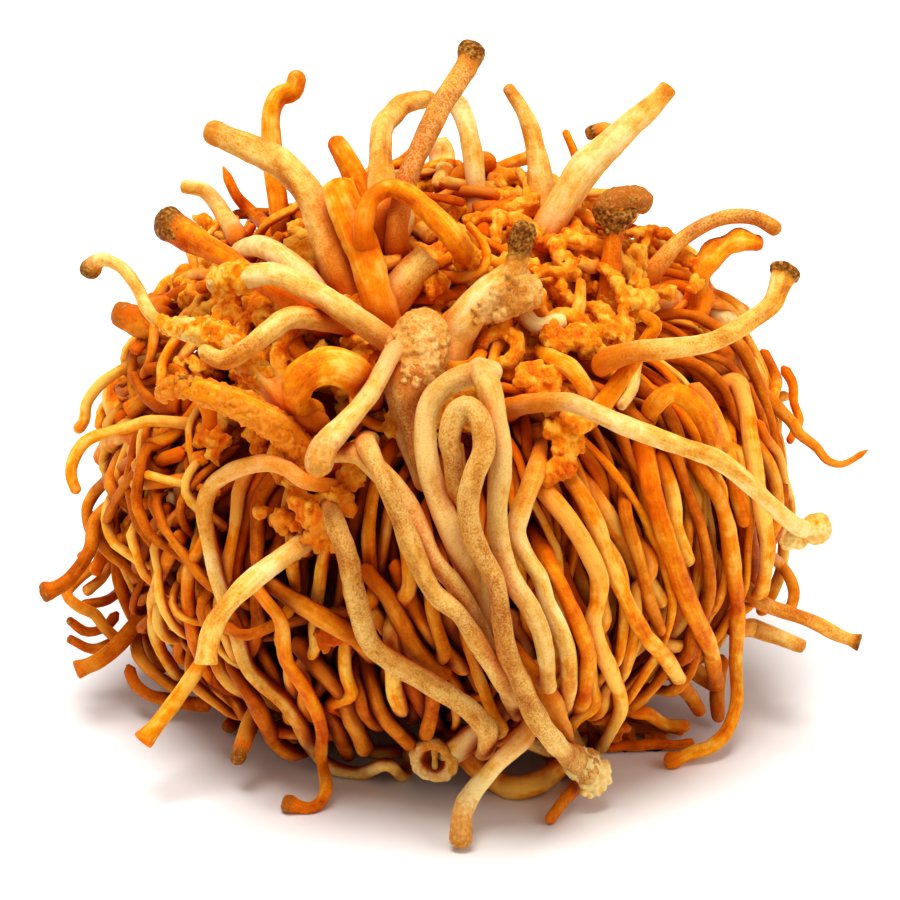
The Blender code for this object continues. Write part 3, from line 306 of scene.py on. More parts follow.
FRONT_TUFT: tuple[Stem, ...] = (
    Stem("under_loop", ORANGE, ((480, 770, -5), (500, 783, -3), (519, 788, -2), (540, 782, -3),
         (560, 766, -6)), (2.9, 3.1, 3.3, 3.2, 2.9)),
    Stem("bottom_stub", PALE, ((518, 744, -4), (506, 755, -2), (493, 768, 0), (474, 790, 0), (462, 814, 0),
         (461, 846, 0)), (2.8, 2.7, 2.6, 2.6, 2.6, 2.8),
         ending=Ending(Tip.ROUND, 1.04, 1.5, 0.5, 9.0, 0.08)),
    Stem("bottom_twig", AMBER, ((578, 784, -3), (571, 793, 0), (562, 803, 0), (548, 822, 0)),
         (2.2, 2.0, 1.8, 1.5)),
    Stem("front_loop_stem", ORANGE, ((532, 478, -5), (546, 492, 0), (571, 523, 2), (590, 555, 2),
         (599, 577, 2), (598, 600, 2), (593, 622, 2), (599, 646, 2), (613, 676, 2), (621, 705, 1),
         (612, 729, 0), (602, 747, -4)), (2.4, 2.4, 2.4, 2.4, 2.4, 2.4, 2.4, 2.4, 2.2, 2.0, 2.0, 2.0)),
    Stem("fan_right_stem", ORANGE, ((540, 545, -4), (549, 564, 1), (562, 588, 3), (575, 618, 3),
         (586, 646, 3), (588, 670, 2), (584, 692, 1), (580, 712, -3)),
         (2.4, 2.4, 2.4, 2.4, 2.4, 2.4, 2.3, 2.3)),
    Stem("fan_middle_stem", PALE, ((540, 450, -3), (536, 470, 2), (527, 494, 4), (519, 516, 4),
         (516, 534, 4), (525, 554, 4), (540, 578, 4), (547, 602, 4), (560, 630, 4), (568, 656, 2),
         (569, 680, 1), (566, 704, -4)), (2.2, 2.6, 2.9, 2.8, 2.6, 2.5, 2.5, 2.5, 2.5, 2.5, 2.4, 2.3)),
    Stem("fan_inner_stem", AMBER, ((516, 650, -4), (526, 664, 0), (540, 680, 2), (553, 702, 3),
         (562, 726, 3), (568, 750, 1)), (2.2, 2.4, 2.5, 2.5, 2.5, 2.4)),
    Stem("front_head", POWDERY, ((446, 524, -3), (434, 490, 0), (424, 456, 2), (416, 428, 3), (409, 398, 5),
         (415, 362, 7), (421, 340, 8), (424, 320, 8)), (2.9, 3.1, 3.5, 3.9, 5.0, 7.5, 7.9, 5.9),
         ending=Ending(Tip.ROUND, 0.82, 7.0, 0.1, 3.0, 0.1), surface=Surface(0.2, 3.0, 0.06, 0.9, 0.05)),
    Stem("fan_curled_stem", POWDERY, ((494, 640, -4), (484, 612, 0), (475, 588, 4), (464, 562, 6),
         (451, 531, 8), (438, 497, 8), (428, 463, 8), (425, 428, 8), (432, 400, 9), (453, 381, 10),
         (478, 373, 10), (499, 371, 9)), (2.4, 2.7, 2.9, 3.1, 3.2, 3.3, 3.3, 3.3, 3.2, 3.2, 3.1, 2.8),
         ending=Ending(browning=0.0), surface=Surface(0.05, 5.0, 0.03, 0.8, 0.05)),
    Stem("fan_outer_stem", POWDERY, ((326, 452, -2), (344, 452, 3), (360, 454, 5), (374, 466, 5),
         (395, 488, 5), (412, 513, 5), (430, 555, 5), (454, 584, 4), (470, 610, 3), (482, 634, 1),
         (490, 656, -3)), (2.6, 2.6, 2.6, 2.7, 2.7, 2.7, 2.7, 2.6, 2.6, 2.5, 2.4)),
    Stem("fan_left_stem", POWDERY, ((370, 452, -4), (383, 478, 1), (402, 522, 2), (430, 588, 3),
         (459, 615, 3), (478, 643, 3), (496, 670, 2), (508, 692, 1), (518, 714, -4)),
         (2.6, 2.6, 2.7, 2.7, 2.7, 2.7, 2.6, 2.5, 2.3)),
    Stem("fan_long_stem", POWDERY, ((484, 378, -3), (490, 396, 2), (495, 418, 4), (501, 445, 5),
         (501, 474, 5), (497, 502, 5), (498, 531, 5), (505, 560, 5), (514, 583, 5), (529, 606, 4),
         (540, 630, 2), (546, 656, 0), (548, 682, -4)), (3.1, 3.3, 3.3, 3.2, 3.1, 2.9, 2.9, 2.8, 2.7, 2.6,
         2.5, 2.4, 2.3)),
    Stem("fan_main_stem", POWDERY, ((456, 486, -3), (453, 462, 2), (450, 438, 4), (455, 418, 5),
         (468, 407, 6), (481, 420, 6), (484, 446, 6), (475, 473, 6), (468, 501, 6), (471, 530, 6),
         (482, 556, 6), (496, 585, 6), (503, 628, 6), (509, 657, 6), (522, 685, 6), (535, 714, 6),
         (552, 739, 5), (572, 758, 5), (600, 773, 4)), (2.4, 2.6, 2.8, 2.9, 3.1, 3.2, 3.2, 3.1, 3.1, 3.1,
         3.1, 3.0, 3.0, 3.0, 3.0, 3.0, 3.1, 3.7, 5.0), ending=Ending(Tip.BROKEN, 1.12, 2.2, 0.1, 2.4, 0.2)),
    Stem("pale_stick", PALE, ((386, 364), (366, 399), (344, 425), (324, 448), (317, 472)),
         (2.5, 2.8, 3.2, 3.9, 4.0), sink=0, lean=9, ending=Ending(Tip.ROUND, 1.04, 2.0, 0.46, 7.0),
         tone=0.6),
    Stem("long_knobbed_stem", PALE, ((530, 404), (549, 402), (571, 403), (593, 412), (628, 427), (672, 443),
         (716, 459), (745, 480), (779, 512), (802, 529), (824, 531)),
         (2.8, 2.7, 2.7, 2.6, 2.5, 2.4, 2.4, 2.4, 2.3, 2.8, 4.4), sink=-2, lean=-6, bow=12,
         ending=Ending(Tip.ROUND, 0.6, 4.5, 0.3, 3.0, 0.06)),
)

STEMS = REAR_CROWN + FRONT_CROWN + LEFT_CURTAIN + RIGHT_CURTAIN + FRONT_TUFT


@dataclass(frozen=True)
class Loose:
    """A small stem between the main ones. The fields are a stem's, and it lies under what it crosses."""

    finish: Finish
    route: tuple
    thick: tuple
    tip: Tip = Tip.ROUND
    browning: float = 0.2


LEFT_TANGLE = (
    Loose(AMBER, ((145, 449), (128, 463), (108, 479), (96, 491), (90, 501), (86, 512), (87, 523), (96, 542)),
          (2.0, 1.8, 1.8, 1.8)),
    Loose(ORANGE, ((185, 452), (152, 465), (130, 485), (115, 501), (104, 511), (99, 520), (104, 545),
          (96, 570)), (2.0, 1.9, 1.9, 1.8)),
    Loose(ORANGE, ((174, 434), (145, 437), (123, 438), (108, 447), (104, 457)), (2.0, 1.8, 1.8, 3.2),
          Tip.KNOB, 0.4),
    Loose(AMBER, ((120, 545), (84, 575), (67, 593), (78, 606), (92, 611), (100, 623), (118, 640)),
          (2.0, 1.6, 1.6, 1.6)),
    Loose(AMBER, ((118, 612), (100, 631), (81, 630), (70, 621)), (1.8, 1.5, 1.4), Tip.BROKEN, 0.6),
    Loose(AMBER, ((120, 640), (96, 649), (74, 646), (70, 639)), (1.8, 1.5, 1.4), Tip.BROKEN, 0.6),
    Loose(AMBER, ((139, 600), (136, 630), (139, 656), (155, 674), (177, 689)), (2.0, 1.9, 1.8)),
    Loose(ORANGE, ((150, 500), (132, 520), (120, 545), (118, 575), (126, 600), (138, 625)), (2.0, 2.0, 1.9)),
    Loose(AMBER, ((170, 505), (148, 540), (138, 570), (136, 600), (146, 640), (160, 668)), (2.2, 2.2, 2.0)),
    Loose(ORANGE, ((150, 470), (120, 490), (106, 520), (112, 550), (104, 575), (88, 590)), (1.9, 1.8, 1.7)),
    Loose(AMBER, ((160, 560), (135, 565), (110, 560), (92, 548), (82, 556)), (1.8, 1.7, 1.5)),
    Loose(AMBER, ((150, 525), (128, 535), (104, 530), (90, 515)), (1.8, 1.7, 1.5)),
    Loose(ORANGE, ((186, 506), (180, 480), (190, 462), (203, 457)), (2.2, 2.4, 2.0)),
    Loose(PALE, ((159, 450), (163, 465), (168, 480), (174, 494), (172, 520)), (2.0, 2.2, 2.0)),
    Loose(ORANGE, ((149, 340), (150, 362), (152, 384), (152, 406), (160, 440)), (4.6, 5.0, 4.4)),
    Loose(ORANGE, ((150, 420), (140, 400), (120, 396), (104, 408), (100, 425)), (1.8, 1.7, 1.6)),
    Loose(AMBER, ((196, 600), (184, 608), (177, 624), (166, 623), (160, 612)), (2.2, 2.2, 2.0)),
    Loose(AMBER, ((140, 560), (120, 590), (108, 600), (86, 604)), (1.8, 1.7, 1.5)),
    Loose(AMBER, ((128, 665), (140, 690), (170, 700), (205, 705)), (2.0, 2.0, 2.0)),
)

LOWER_LEFT_STEMS = (
    Loose(ORANGE, ((241, 496), (228, 504), (222, 511), (216, 537), (221, 567), (230, 596), (246, 622)),
          (2.3, 2.3, 2.2)),
    Loose(AMBER, ((363, 564), (374, 580), (388, 596), (403, 625), (416, 650), (443, 673)), (2.5, 2.5, 2.4)),
    Loose(AMBER, ((249, 615), (259, 644), (278, 682), (292, 700), (306, 714)), (2.3, 2.3, 2.2)),
    Loose(AMBER, ((295, 637), (318, 666), (340, 691), (355, 725), (365, 747)), (2.9, 2.9, 2.7)),
    Loose(AMBER, ((318, 703), (328, 714), (336, 725), (347, 754)), (2.3, 2.3, 2.2)),
    Loose(AMBER, ((362, 644), (369, 673), (377, 703), (391, 725), (410, 742)), (2.6, 2.6, 2.4)),
    Loose(AMBER, ((230, 666), (252, 710), (274, 732), (293, 751), (314, 768)), (2.1, 2.1, 2.0)),
    Loose(ORANGE, ((359, 782), (377, 795), (391, 796), (406, 791), (425, 780)), (2.1, 2.1, 2.0)),
    Loose(AMBER, ((245, 700), (245, 725), (232, 740), (230, 748)), (2.5, 2.5, 2.2), Tip.ROUND, 0.6),
    Loose(ORANGE, ((340, 535), (352, 580), (372, 610), (398, 640), (420, 655)), (2.4, 2.4, 2.3)),
    Loose(AMBER, ((282, 590), (300, 640), (318, 690), (322, 720)), (2.3, 2.3, 2.2)),
    Loose(ORANGE, ((395, 560), (410, 600), (436, 640), (462, 668)), (2.5, 2.5, 2.4)),
    Loose(AMBER, ((390, 650), (420, 700), (440, 730), (462, 745)), (2.6, 2.6, 2.5)),
    Loose(AMBER, ((282, 528), (278, 506), (292, 490), (314, 488), (330, 502), (326, 522), (308, 528),
          (298, 514), (308, 504)), (3.4, 3.2, 3.0, 2.6, 2.2), Tip.BROKEN, 0.3),
    Loose(AMBER, ((262, 540), (268, 520), (270, 498), (284, 482), (306, 478)), (3.0, 3.4, 3.0), Tip.BROKEN,
          0.4),
    Loose(ORANGE, ((318, 560), (332, 546), (338, 526), (350, 512), (348, 496)), (2.6, 3.0, 3.2), Tip.BROKEN,
          0.2),
    Loose(AMBER, ((300, 600), (318, 612), (330, 628), (338, 640), (350, 634)), (2.4, 2.8, 3.0), Tip.BROKEN,
          0.2),
)

FRONT_LOOSE_STEMS = (
    Loose(POWDERY, ((445, 610), (464, 650), (478, 679), (492, 709), (500, 728), (525, 740), (547, 750)),
          (2.3, 2.3, 2.2)),
    Loose(POWDERY, ((516, 500), (517, 480), (521, 465), (529, 450), (537, 435)), (3.0, 3.2, 3.6), Tip.ROUND,
          0.3),
    Loose(ORANGE, ((548, 448), (537, 457), (535, 472), (534, 487), (524, 516), (512, 545), (508, 575)),
          (2.2, 2.2, 2.1)),
    Loose(POWDERY, ((396, 380), (399, 391), (406, 428), (412, 445), (417, 457), (424, 480)),
          (4.0, 3.8, 3.4)),
    Loose(ORANGE, ((528, 391), (527, 410), (535, 428), (546, 437), (556, 444)), (1.5, 1.4, 1.9), Tip.CUT,
          0.1),
    Loose(POWDERY, ((470, 500), (462, 560), (478, 620), (500, 660)), (2.8, 2.8, 2.6)),
    Loose(POWDERY, ((452, 440), (456, 470), (462, 500), (476, 540)), (2.8, 2.8, 2.6)),
    Loose(ORANGE, ((520, 560), (536, 610), (556, 660), (566, 710)), (2.6, 2.6, 2.4)),
    Loose(AMBER, ((556, 560), (572, 600), (600, 640), (612, 680), (604, 716)), (2.4, 2.4, 2.2)),
    Loose(POWDERY, ((510, 610), (522, 645), (536, 684), (552, 718), (568, 744)), (2.5, 2.6, 2.5)),
    Loose(PALE, ((550, 688), (557, 706), (568, 728), (580, 750)), (2.4, 2.4, 2.3)),
    Loose(ORANGE, ((572, 712), (578, 726), (586, 742), (592, 758)), (2.3, 2.3, 2.2)),
    Loose(POWDERY, ((484, 656), (500, 690), (518, 720), (536, 742), (552, 756)), (2.6, 2.6, 2.4)),
    Loose(ORANGE, ((598, 650), (602, 690), (606, 724), (610, 748)), (2.2, 2.2, 2.1)),
    Loose(POWDERY, ((424, 590), (448, 632), (470, 668), (488, 702), (502, 730)), (2.5, 2.6, 2.4)),
    Loose(PALE, ((534, 600), (548, 632), (560, 664), (572, 696)), (2.4, 2.5, 2.3)),
)

RIGHT_LOOSE_STEMS = (
    Loose(PALE, ((626, 425), (634, 414), (646, 409), (660, 411)), (2.6, 2.4, 2.6, 3.2), Tip.KNOB, 0.1),
    Loose(ORANGE, ((690, 385), (701, 395), (710, 408), (716, 421), (725, 443), (734, 480), (744, 520)),
          (2.2, 2.2, 2.2)),
    Loose(ORANGE, ((708, 370), (719, 383), (725, 400), (727, 417), (730, 446)), (2.2, 2.2, 2.2)),
    Loose(ORANGE, ((660, 450), (665, 471), (673, 497), (676, 527), (688, 560)), (2.1, 2.1, 2.0)),
    Loose(AMBER, ((680, 450), (684, 471), (688, 505), (688, 538), (684, 563)), (1.6, 1.6, 1.5)),
    Loose(AMBER, ((728, 480), (738, 505), (748, 534), (753, 563), (752, 600)), (2.2, 2.2, 2.2)),
    Loose(AMBER, ((612, 430), (618, 443), (624, 471), (625, 512), (640, 563), (649, 600), (660, 630)),
          (2.0, 1.8, 1.8)),
    Loose(ORANGE, ((570, 468), (581, 480), (599, 505), (613, 527), (628, 549), (643, 578), (660, 600)),
          (2.6, 2.6, 2.5)),
    Loose(AMBER, ((722, 655), (717, 685), (717, 700), (718, 716)), (2.2, 2.2, 2.0), Tip.ROUND, 0.5),
    Loose(AMBER, ((672, 670), (684, 688), (692, 698), (699, 710)), (2.2, 2.2, 2.0)),
    Loose(ORANGE, ((650, 648), (661, 644), (673, 647), (693, 642)), (2.0, 2.0, 1.9)),
    Loose(ORANGE, ((618, 700), (633, 711), (649, 714), (664, 724), (684, 726)), (1.9, 1.9, 1.8)),
    Loose(ORANGE, ((604, 772), (618, 764), (634, 766), (652, 756), (672, 760), (690, 748)), (1.5, 1.6, 1.3)),
    Loose(AMBER, ((600, 750), (616, 742), (634, 748), (650, 740), (664, 746)), (1.4, 1.5, 1.3)),
    Loose(ORANGE, ((612, 728), (628, 740), (648, 744), (664, 736), (680, 740)), (1.5, 1.4, 1.2)),
    Loose(AMBER, ((598, 762), (614, 754), (640, 752), (656, 762)), (1.6, 1.5, 1.3)),
    Loose(AMBER, ((768, 552), (779, 563), (790, 578), (794, 598), (786, 612), (770, 606)), (1.8, 1.7, 1.6)),
    Loose(ORANGE, ((758, 420), (767, 439), (779, 455), (784, 476), (792, 504), (790, 530)), (1.4, 1.1, 1.1)),
    Loose(ORANGE, ((782, 366), (792, 382), (795, 392), (794, 404), (800, 418), (790, 440)), (1.6, 1.4, 1.3)),
    Loose(PALE, ((732, 630), (752, 628), (770, 634), (788, 641), (801, 646)), (2.6, 2.8, 3.0, 2.6, 2.2),
          Tip.BROKEN, 0.5),
    Loose(ORANGE, ((772, 480), (782, 510), (784, 545), (778, 580), (762, 610)), (1.9, 1.9, 1.8)),
    Loose(ORANGE, ((762, 350), (776, 380), (770, 410), (776, 440), (768, 470)), (1.7, 1.6, 1.5)),
    Loose(ORANGE, ((700, 340), (724, 352), (744, 372), (762, 392)), (2.4, 2.4, 2.2)),
    Loose(ORANGE, ((670, 366), (700, 374), (728, 380), (760, 400), (784, 396)), (2.2, 2.1, 1.8)),
)

CROWN_CURLS = (
    Loose(PALE, ((446, 176), (440, 168), (436, 150), (440, 140), (446, 150), (446, 162), (440, 184)),
          (2.6, 2.4, 2.4)),
    Loose(ORANGE, ((580, 182), (575, 154), (566, 133)), (1.8, 1.4, 1.1)),
    Loose(AMBER, ((618, 140), (610, 131), (600, 130), (591, 133)), (2.2, 2.2, 2.0), Tip.KNOB, 0.9),
    Loose(PALE, ((596, 296), (611, 308), (619, 313)), (2.4, 2.6, 2.2), Tip.ROUND, 0.0),
    Loose(ORANGE, ((562, 262), (574, 256), (588, 258), (597, 268), (596, 282), (584, 290), (568, 288),
          (562, 278)), (2.0, 2.2, 2.2, 2.0)),
    Loose(PALE, ((640, 350), (636, 366), (634, 385), (622, 405)), (1.7, 1.6, 1.5)),
    Loose(PALE, ((518, 308), (523, 315), (531, 324), (545, 326), (562, 321)), (2.4, 2.3, 2.3), Tip.CUT, 0.1),
    Loose(ORANGE, ((524, 320), (520, 333), (516, 352), (510, 374)), (2.6, 2.6, 2.4)),
    Loose(ORANGE, ((486, 376), (500, 381), (519, 381), (538, 376), (550, 370)), (1.8, 2.0, 2.6), Tip.BROKEN,
          0.0),
    Loose(ORANGE, ((570, 418), (577, 428), (578, 440), (568, 454), (549, 462), (540, 460)), (2.4, 2.6, 2.2)),
    Loose(PALE, ((240, 240), (224, 216), (207, 192), (184, 187)), (3.2, 2.8, 1.8), Tip.BROKEN, 0.1),
    Loose(ORANGE, ((285, 246), (258, 218), (238, 198), (228, 178)), (3.0, 2.6, 1.4), Tip.POINT, 0.2),
    Loose(ORANGE, ((224, 284), (210, 276), (195, 275), (176, 279), (161, 287), (158, 296)), (2.0, 1.9, 1.8)),
    Loose(AMBER, ((161, 306), (172, 294), (184, 290), (196, 291), (201, 296), (196, 310), (189, 316)),
          (1.8, 1.7, 1.7)),
    Loose(ORANGE, ((560, 318), (552, 338), (556, 358), (572, 376)), (2.6, 2.6, 2.4)),
    Loose(ORANGE, ((590, 330), (600, 350), (596, 372), (584, 390)), (2.6, 2.4, 2.2)),
    Loose(PALE, ((650, 300), (680, 302), (706, 310), (728, 322)), (3.0, 3.4, 3.0)),
    Loose(ORANGE, ((660, 284), (690, 290), (716, 298), (742, 312)), (2.6, 3.0, 2.6)),
)

# Groups that each become one piece a finish, named as in the pieces
LOOSE = {
    "left_tangle": LEFT_TANGLE,
    "lower_left_stems": LOWER_LEFT_STEMS,
    "front_loose_stems": FRONT_LOOSE_STEMS,
    "right_loose_stems": RIGHT_LOOSE_STEMS,
    "crown_curls": CROWN_CURLS,
}


def smooth_line(rows: Array, per_span: int = 10) -> Array:
    """A Catmull-Rom curve through the rows.

    Args:
        rows: Points or values, one a row.
        per_span: Points made for each span.

    Returns:
        The finer rows.
    """
    ends = np.vstack([2 * rows[0] - rows[1], rows, 2 * rows[-1] - rows[-2]])
    t = np.linspace(0, 1, per_span, endpoint=False)[:, None]
    spans = []
    for a, b, c, d in zip(ends, ends[1:], ends[2:], ends[3:]):
        spans.append(0.5 * (2 * b + (c - a) * t + (2 * a - 5 * b + 4 * c - d) * t ** 2
                            + (3 * b - a - 3 * c + d) * t ** 3))
    return np.vstack([*spans, rows[-1:]])


def along(rows: Array) -> Array:
    """Each row's distance from the first."""
    return np.concatenate([[0], np.cumsum(np.linalg.norm(np.diff(rows, axis=0), axis=1))])


def at_stops(rows: Array, run: Array, stops: Array) -> Array:
    """The rows' values at other distances along them."""
    return np.column_stack([np.interp(stops, run, rows[:, i]) for i in range(rows.shape[1])])


def eased(values: Array) -> Array:
    """Values from 0 to 1 with a soft start and end."""
    share = np.clip(values, 0, 1)
    return share * share * (3 - 2 * share)


def unit(rows: Array) -> Array:
    """The rows at length 1."""
    return rows / np.maximum(np.linalg.norm(rows, axis=-1, keepdims=True), 1e-12)


def hashed(cells: Array, seed: int) -> Array:
    """A fixed value for each whole-numbered cell.

    Args:
        cells: Cells, three whole numbers a row.
        seed: Another pattern for each number.

    Returns:
        A value from -1 to 1 for each cell.
    """
    mask = 0xFFFFFFFF
    mixed = seed * 974634777
    for axis, prime in enumerate((374761393, 668265263, 1440662683)):
        mixed = mixed + cells[..., axis] * prime
    mixed = (mixed & mask) ^ ((mixed & mask) >> 13)
    mixed = (mixed * 1274126177) & mask
    mixed = mixed ^ (mixed >> 16)
    return (mixed & 0xFFFF) / 32767.5 - 1


def noise(points: Array, size: float | Array, seed: int = 0) -> Array:
    """Smooth value noise.

    Args:
        points: Places, one a row.
        size: The width of a lump, or one width for each axis.
        seed: Another pattern for each number.

    Returns:
        A value from -1 to 1 for each place.
    """
    scaled = points / size
    cell = np.floor(scaled).astype(np.int64)
    part = eased(scaled - cell)
    total = np.zeros(points.shape[:-1])
    for corner in np.ndindex(2, 2, 2):
        weight = np.prod(np.where(np.array(corner), part, 1 - part), axis=-1)
        total += weight * hashed(cell + np.array(corner), seed)
    return total


def heap_depth(x: float, up: float) -> float:
    """How near the viewer the heap's outer face is.

    Args:
        x: The distance to the right of the heap's middle in the view.
        up: The distance above it in the view.

    Returns:
        The distance from the middle towards the viewer.
    """
    near_y, near_z = VIEW_NEAR[1], VIEW_NEAR[2]
    up_y, up_z = VIEW_UP[1], VIEW_UP[2]
    square_y = HEAP_HALF_DEPTH ** 2
    square_z = HEAP_HALF_HEIGHT ** 2
    curve = near_y ** 2 / square_y + near_z ** 2 / square_z
    slope = up * (up_y * near_y / square_y + up_z * near_z / square_z)
    rest = (x / HEAP_HALF_WIDTH) ** 2 + up ** 2 * (up_y ** 2 / square_y + up_z ** 2 / square_z) - 1
    return (-slope + math.sqrt(max(slope ** 2 - curve * rest, 0))) / curve


def shell(points: Array) -> Array:
    """1 on the heap's outer face, less inside it and more outside."""
    return np.linalg.norm((points - MIDDLE) / HEAP_HALVES, axis=-1)


def in_view(x: float, y: float) -> tuple[float, float]:
    """A view place's distances to the right of the heap's middle and above it."""
    return (x - VIEW_MIDDLE_X) * VIEW_STEP, (VIEW_MIDDLE_Y - y) * VIEW_STEP


def view_rows(route: tuple) -> Array:
    """Reads a route in the view, before the view narrows with depth.

    Args:
        route: Places as (x, y) or (x, y, lift in mm).

    Returns:
        Rows of right, up and near distances.
    """
    rows = []
    for place in route:
        right, up = in_view(*place[:2])
        lift = place[2] * MM if len(place) == 3 else 0
        rows.append((right, up, heap_depth(right, up) + lift))
    return np.array(rows)


def stem_rows(stem: Stem) -> Array:
    """Reads a stem's route in the view, with a standing stem's lean and bow.

    Args:
        stem: The stem.

    Returns:
        Rows of right, up and near distances.
    """
    rows = view_rows(stem.route)
    if stem.lean is not None:
        share = along(rows[:, :2])
        share = share / share[-1]
        arch = 4 * share * (1 - share)
        rows[:, 2] = rows[0, 2] + (-stem.sink + stem.lean * share + stem.bow * arch) * MM
    return rows


def narrowed(places: Array) -> Array:
    """The places as the viewer's straight sight lines carry them: nearer is narrower."""
    shrink = 1 - places[:, 2:3] / VIEW_DISTANCE
    return np.hstack([places[:, :2] * shrink, places[:, 2:3]])


def to_world(places: Array) -> Array:
    """View places as points of the bunch."""
    return MIDDLE + narrowed(places) @ VIEW_AXES


class Lay:
    """The view of the stems that are already in place, and of the surface under the heap."""

    def __init__(self) -> None:
        """Starts with no stems."""
        self.spots = np.zeros((0, 4))

    @staticmethod
    def between(places: Array, radii: Array) -> tuple[Array, Array]:
        """Fine samples along the straight runs between sections.

        Args:
            places: The sections.
            radii: Their radii.

        Returns:
            Each sample's weights on the sections, and its radius.
        """
        spans = len(places) - 1
        at = np.linspace(0, spans, spans * SPOTS_PER_SPAN + 1)
        low = np.minimum(at.astype(int), spans - 1)
        part = at - low
        weights = np.zeros((len(at), len(places)))
        weights[np.arange(len(at)), low] = 1 - part
        weights[np.arange(len(at)), low + 1] = part
        return weights, weights @ radii

    def shift(self, spots: Array, radii: Array, under: bool) -> Array:
        """How far each spot must move to lie over, or under, every stem that it crosses.

        Args:
            spots: View places.
            radii: Their radii.
            under: Whether the stem goes under the others.

        Returns:
            The distance for each spot, negative where it is clear.
        """
        others = self.spots
        apart = np.hypot(spots[:, None, 0] - others[None, :, 0], spots[:, None, 1] - others[None, :, 1])
        both = radii[:, None] + others[None, :, 3] + (GAP if under else LAY_GAP)
        reach = np.sqrt(np.maximum(both ** 2 - apart ** 2, 0))
        height = others[None, :, 2] - spots[:, None, 2]
        move = reach - height if under else reach + height
        return np.where(apart < both, move, -1).max(axis=1)

    def add(self, places: Array, radii: Array, under: bool = False) -> Array:
        """Moves the stem along the line of sight until it is clear of the others, and keeps it.

        Args:
            places: The stem's sections in the view.
            radii: Their radii.
            under: Whether it goes under the stems in place. Otherwise it goes over them and over the floor.

        Returns:
            The sections where they end up.
        """
        weights, spot_radii = self.between(places, radii)
        reach = weights > 1 / SPOTS_PER_SPAN
        steps = np.arange(len(places))
        ease = np.maximum(1 - np.abs(steps[:, None] - steps[None, :]) / LAY_EASE, 0)
        for _ in range(LAY_ROUNDS):
            spots = weights @ narrowed(places)
            need = np.full(len(spots), -1.0)
            if not under:
                floor = (spot_radii - HEAP_MIDDLE - spots[:, 1] * VIEW_UP[2]) / VIEW_NEAR[2] + GAP
                need = floor - spots[:, 2]
            if len(self.spots):
                need = np.maximum(need, self.shift(spots, spot_radii, under))
            if need.max() < LAY_CLOSE:
                break
            lift = np.where(reach, np.maximum(need, 0)[:, None], 0).max(axis=0)
            places[:, 2] += (-1 if under else 1) * LAY_SHARE * (lift * ease).max(axis=1)
        spots = weights @ narrowed(places)
        self.spots = np.vstack([self.spots, np.column_stack([spots, spot_radii])])
        return places


@dataclass
class Strand:
    """A stem's centre line and thickness, with what its skin needs."""

    points: Array
    radii: Array
    ending: Ending = Ending()
    surface: Surface = Surface()
    tone: float = 0.0
    seed: int = 0
    sides: int = 24
    both_ends: bool = False
    rooting: float = 1.0
    shading: float = 1.0


@dataclass
class Skin:
    """A mesh in the making.

    Besides its faces it holds what the materials read at each vertex: grain, its place in the lengthwise
    grain, marks, its browning, nearness to the root and painted shade from depth in the heap and from close
    stems, and tone and relief, from -1 to 1.
    """

    parts: dict[str, list] = field(default_factory=dict)
    count: int = 0

    def add(self, verts: Array, quads: Array, tris: Array, **marks: Array) -> None:
        """Adds one closed shape.

        Args:
            verts: Its vertices.
            quads: Its four-sided faces, counted from its own first vertex.
            tris: Its triangles.
            marks: By name, what the materials read at each vertex.
        """
        rows = {"verts": verts, "quads": quads + self.count, "tris": tris + self.count, **marks}
        for key, values in rows.items():
            self.parts.setdefault(key, []).append(values)
        self.count += len(verts)

    def mesh(self, name: str) -> bpy.types.Mesh:
        """Joins everything added.

        Args:
            name: The mesh's name.

        Returns:
            The mesh.
        """
        marks = {key: np.concatenate(rows) for key, rows in self.parts.items()}
        verts, quads, tris = (marks.pop(key) for key in ("verts", "quads", "tris"))
        made = bpy.data.meshes.new(name)
        made.vertices.add(len(verts))
        made.vertices.foreach_set("co", verts.ravel())
        made.loops.add(quads.size + tris.size)
        made.loops.foreach_set("vertex_index", np.concatenate([quads.ravel(), tris.ravel()]).astype(np.int32))
        made.polygons.add(len(quads) + len(tris))
        starts = np.concatenate([np.arange(len(quads)) * 4, quads.size + np.arange(len(tris)) * 3])
        made.polygons.foreach_set("loop_start", starts.astype(np.int32))
        made.update(calc_edges=True)
        made.validate()
        mark_vertices(made, **marks)
        made.shade_smooth()
        return made


def mark_vertices(mesh: bpy.types.Mesh, **marks: Array) -> None:
    """Gives a mesh's vertices what the materials read.

    Args:
        mesh: The mesh.
        marks: By name, a value or a row of three for each vertex.
    """
    for key, rows in marks.items():
        kind, part = ("FLOAT_VECTOR", "vector") if rows.ndim == 2 else ("FLOAT", "value")
        mesh.attributes.new(key, kind, "POINT").data.foreach_set(part, np.ascontiguousarray(rows).ravel())


CRUMB_MM = 0.55  # width of a crumb on an old tip
MOTTLE_MM = 1.3  # width of the light and dark clouds on the flesh
PIT_MM = 0.14  # depth of the pits between a tip's crumbs
DEEP_FROM = 0.97  # on the heap's shell, where the painted shade begins, darkening inwards
DEEP_SPAN = 0.17
CROWDED = 0.85  # how much painted shade another stem close by adds, counted as depth
CROWN_DEEP_FROM = 0.915  # the same level for the crown's crumbs, which the light reaches from above, so their painted shade starts deeper
LOW_CRUMBS = 0.52  # how much painted shade a crumb low on the heap gets, counted as depth
UNDERSIDE = 0.30  # how much painted shade a skin that faces down gets, counted as depth
INWARD = 0.75  # how much painted shade a skin that faces into the heap gets, counted as depth
GRAIN_STRIDE = 0.31  # metres between two strands' patterns
ROOT_FADE = 9.0 * MM  # a stem is deep orange over this much of its root, or over a share of its length
ROOT_SHARE = 0.30
GLOOM_AT = -16.0 * MM  # the painted shade in the gaps is darkest here, beside the front tuft
GLOOM_WIDTH = 24.0 * MM
GLOOM_HEIGHT = 170.0 * MM
GLOOM_LEAST = 0.22
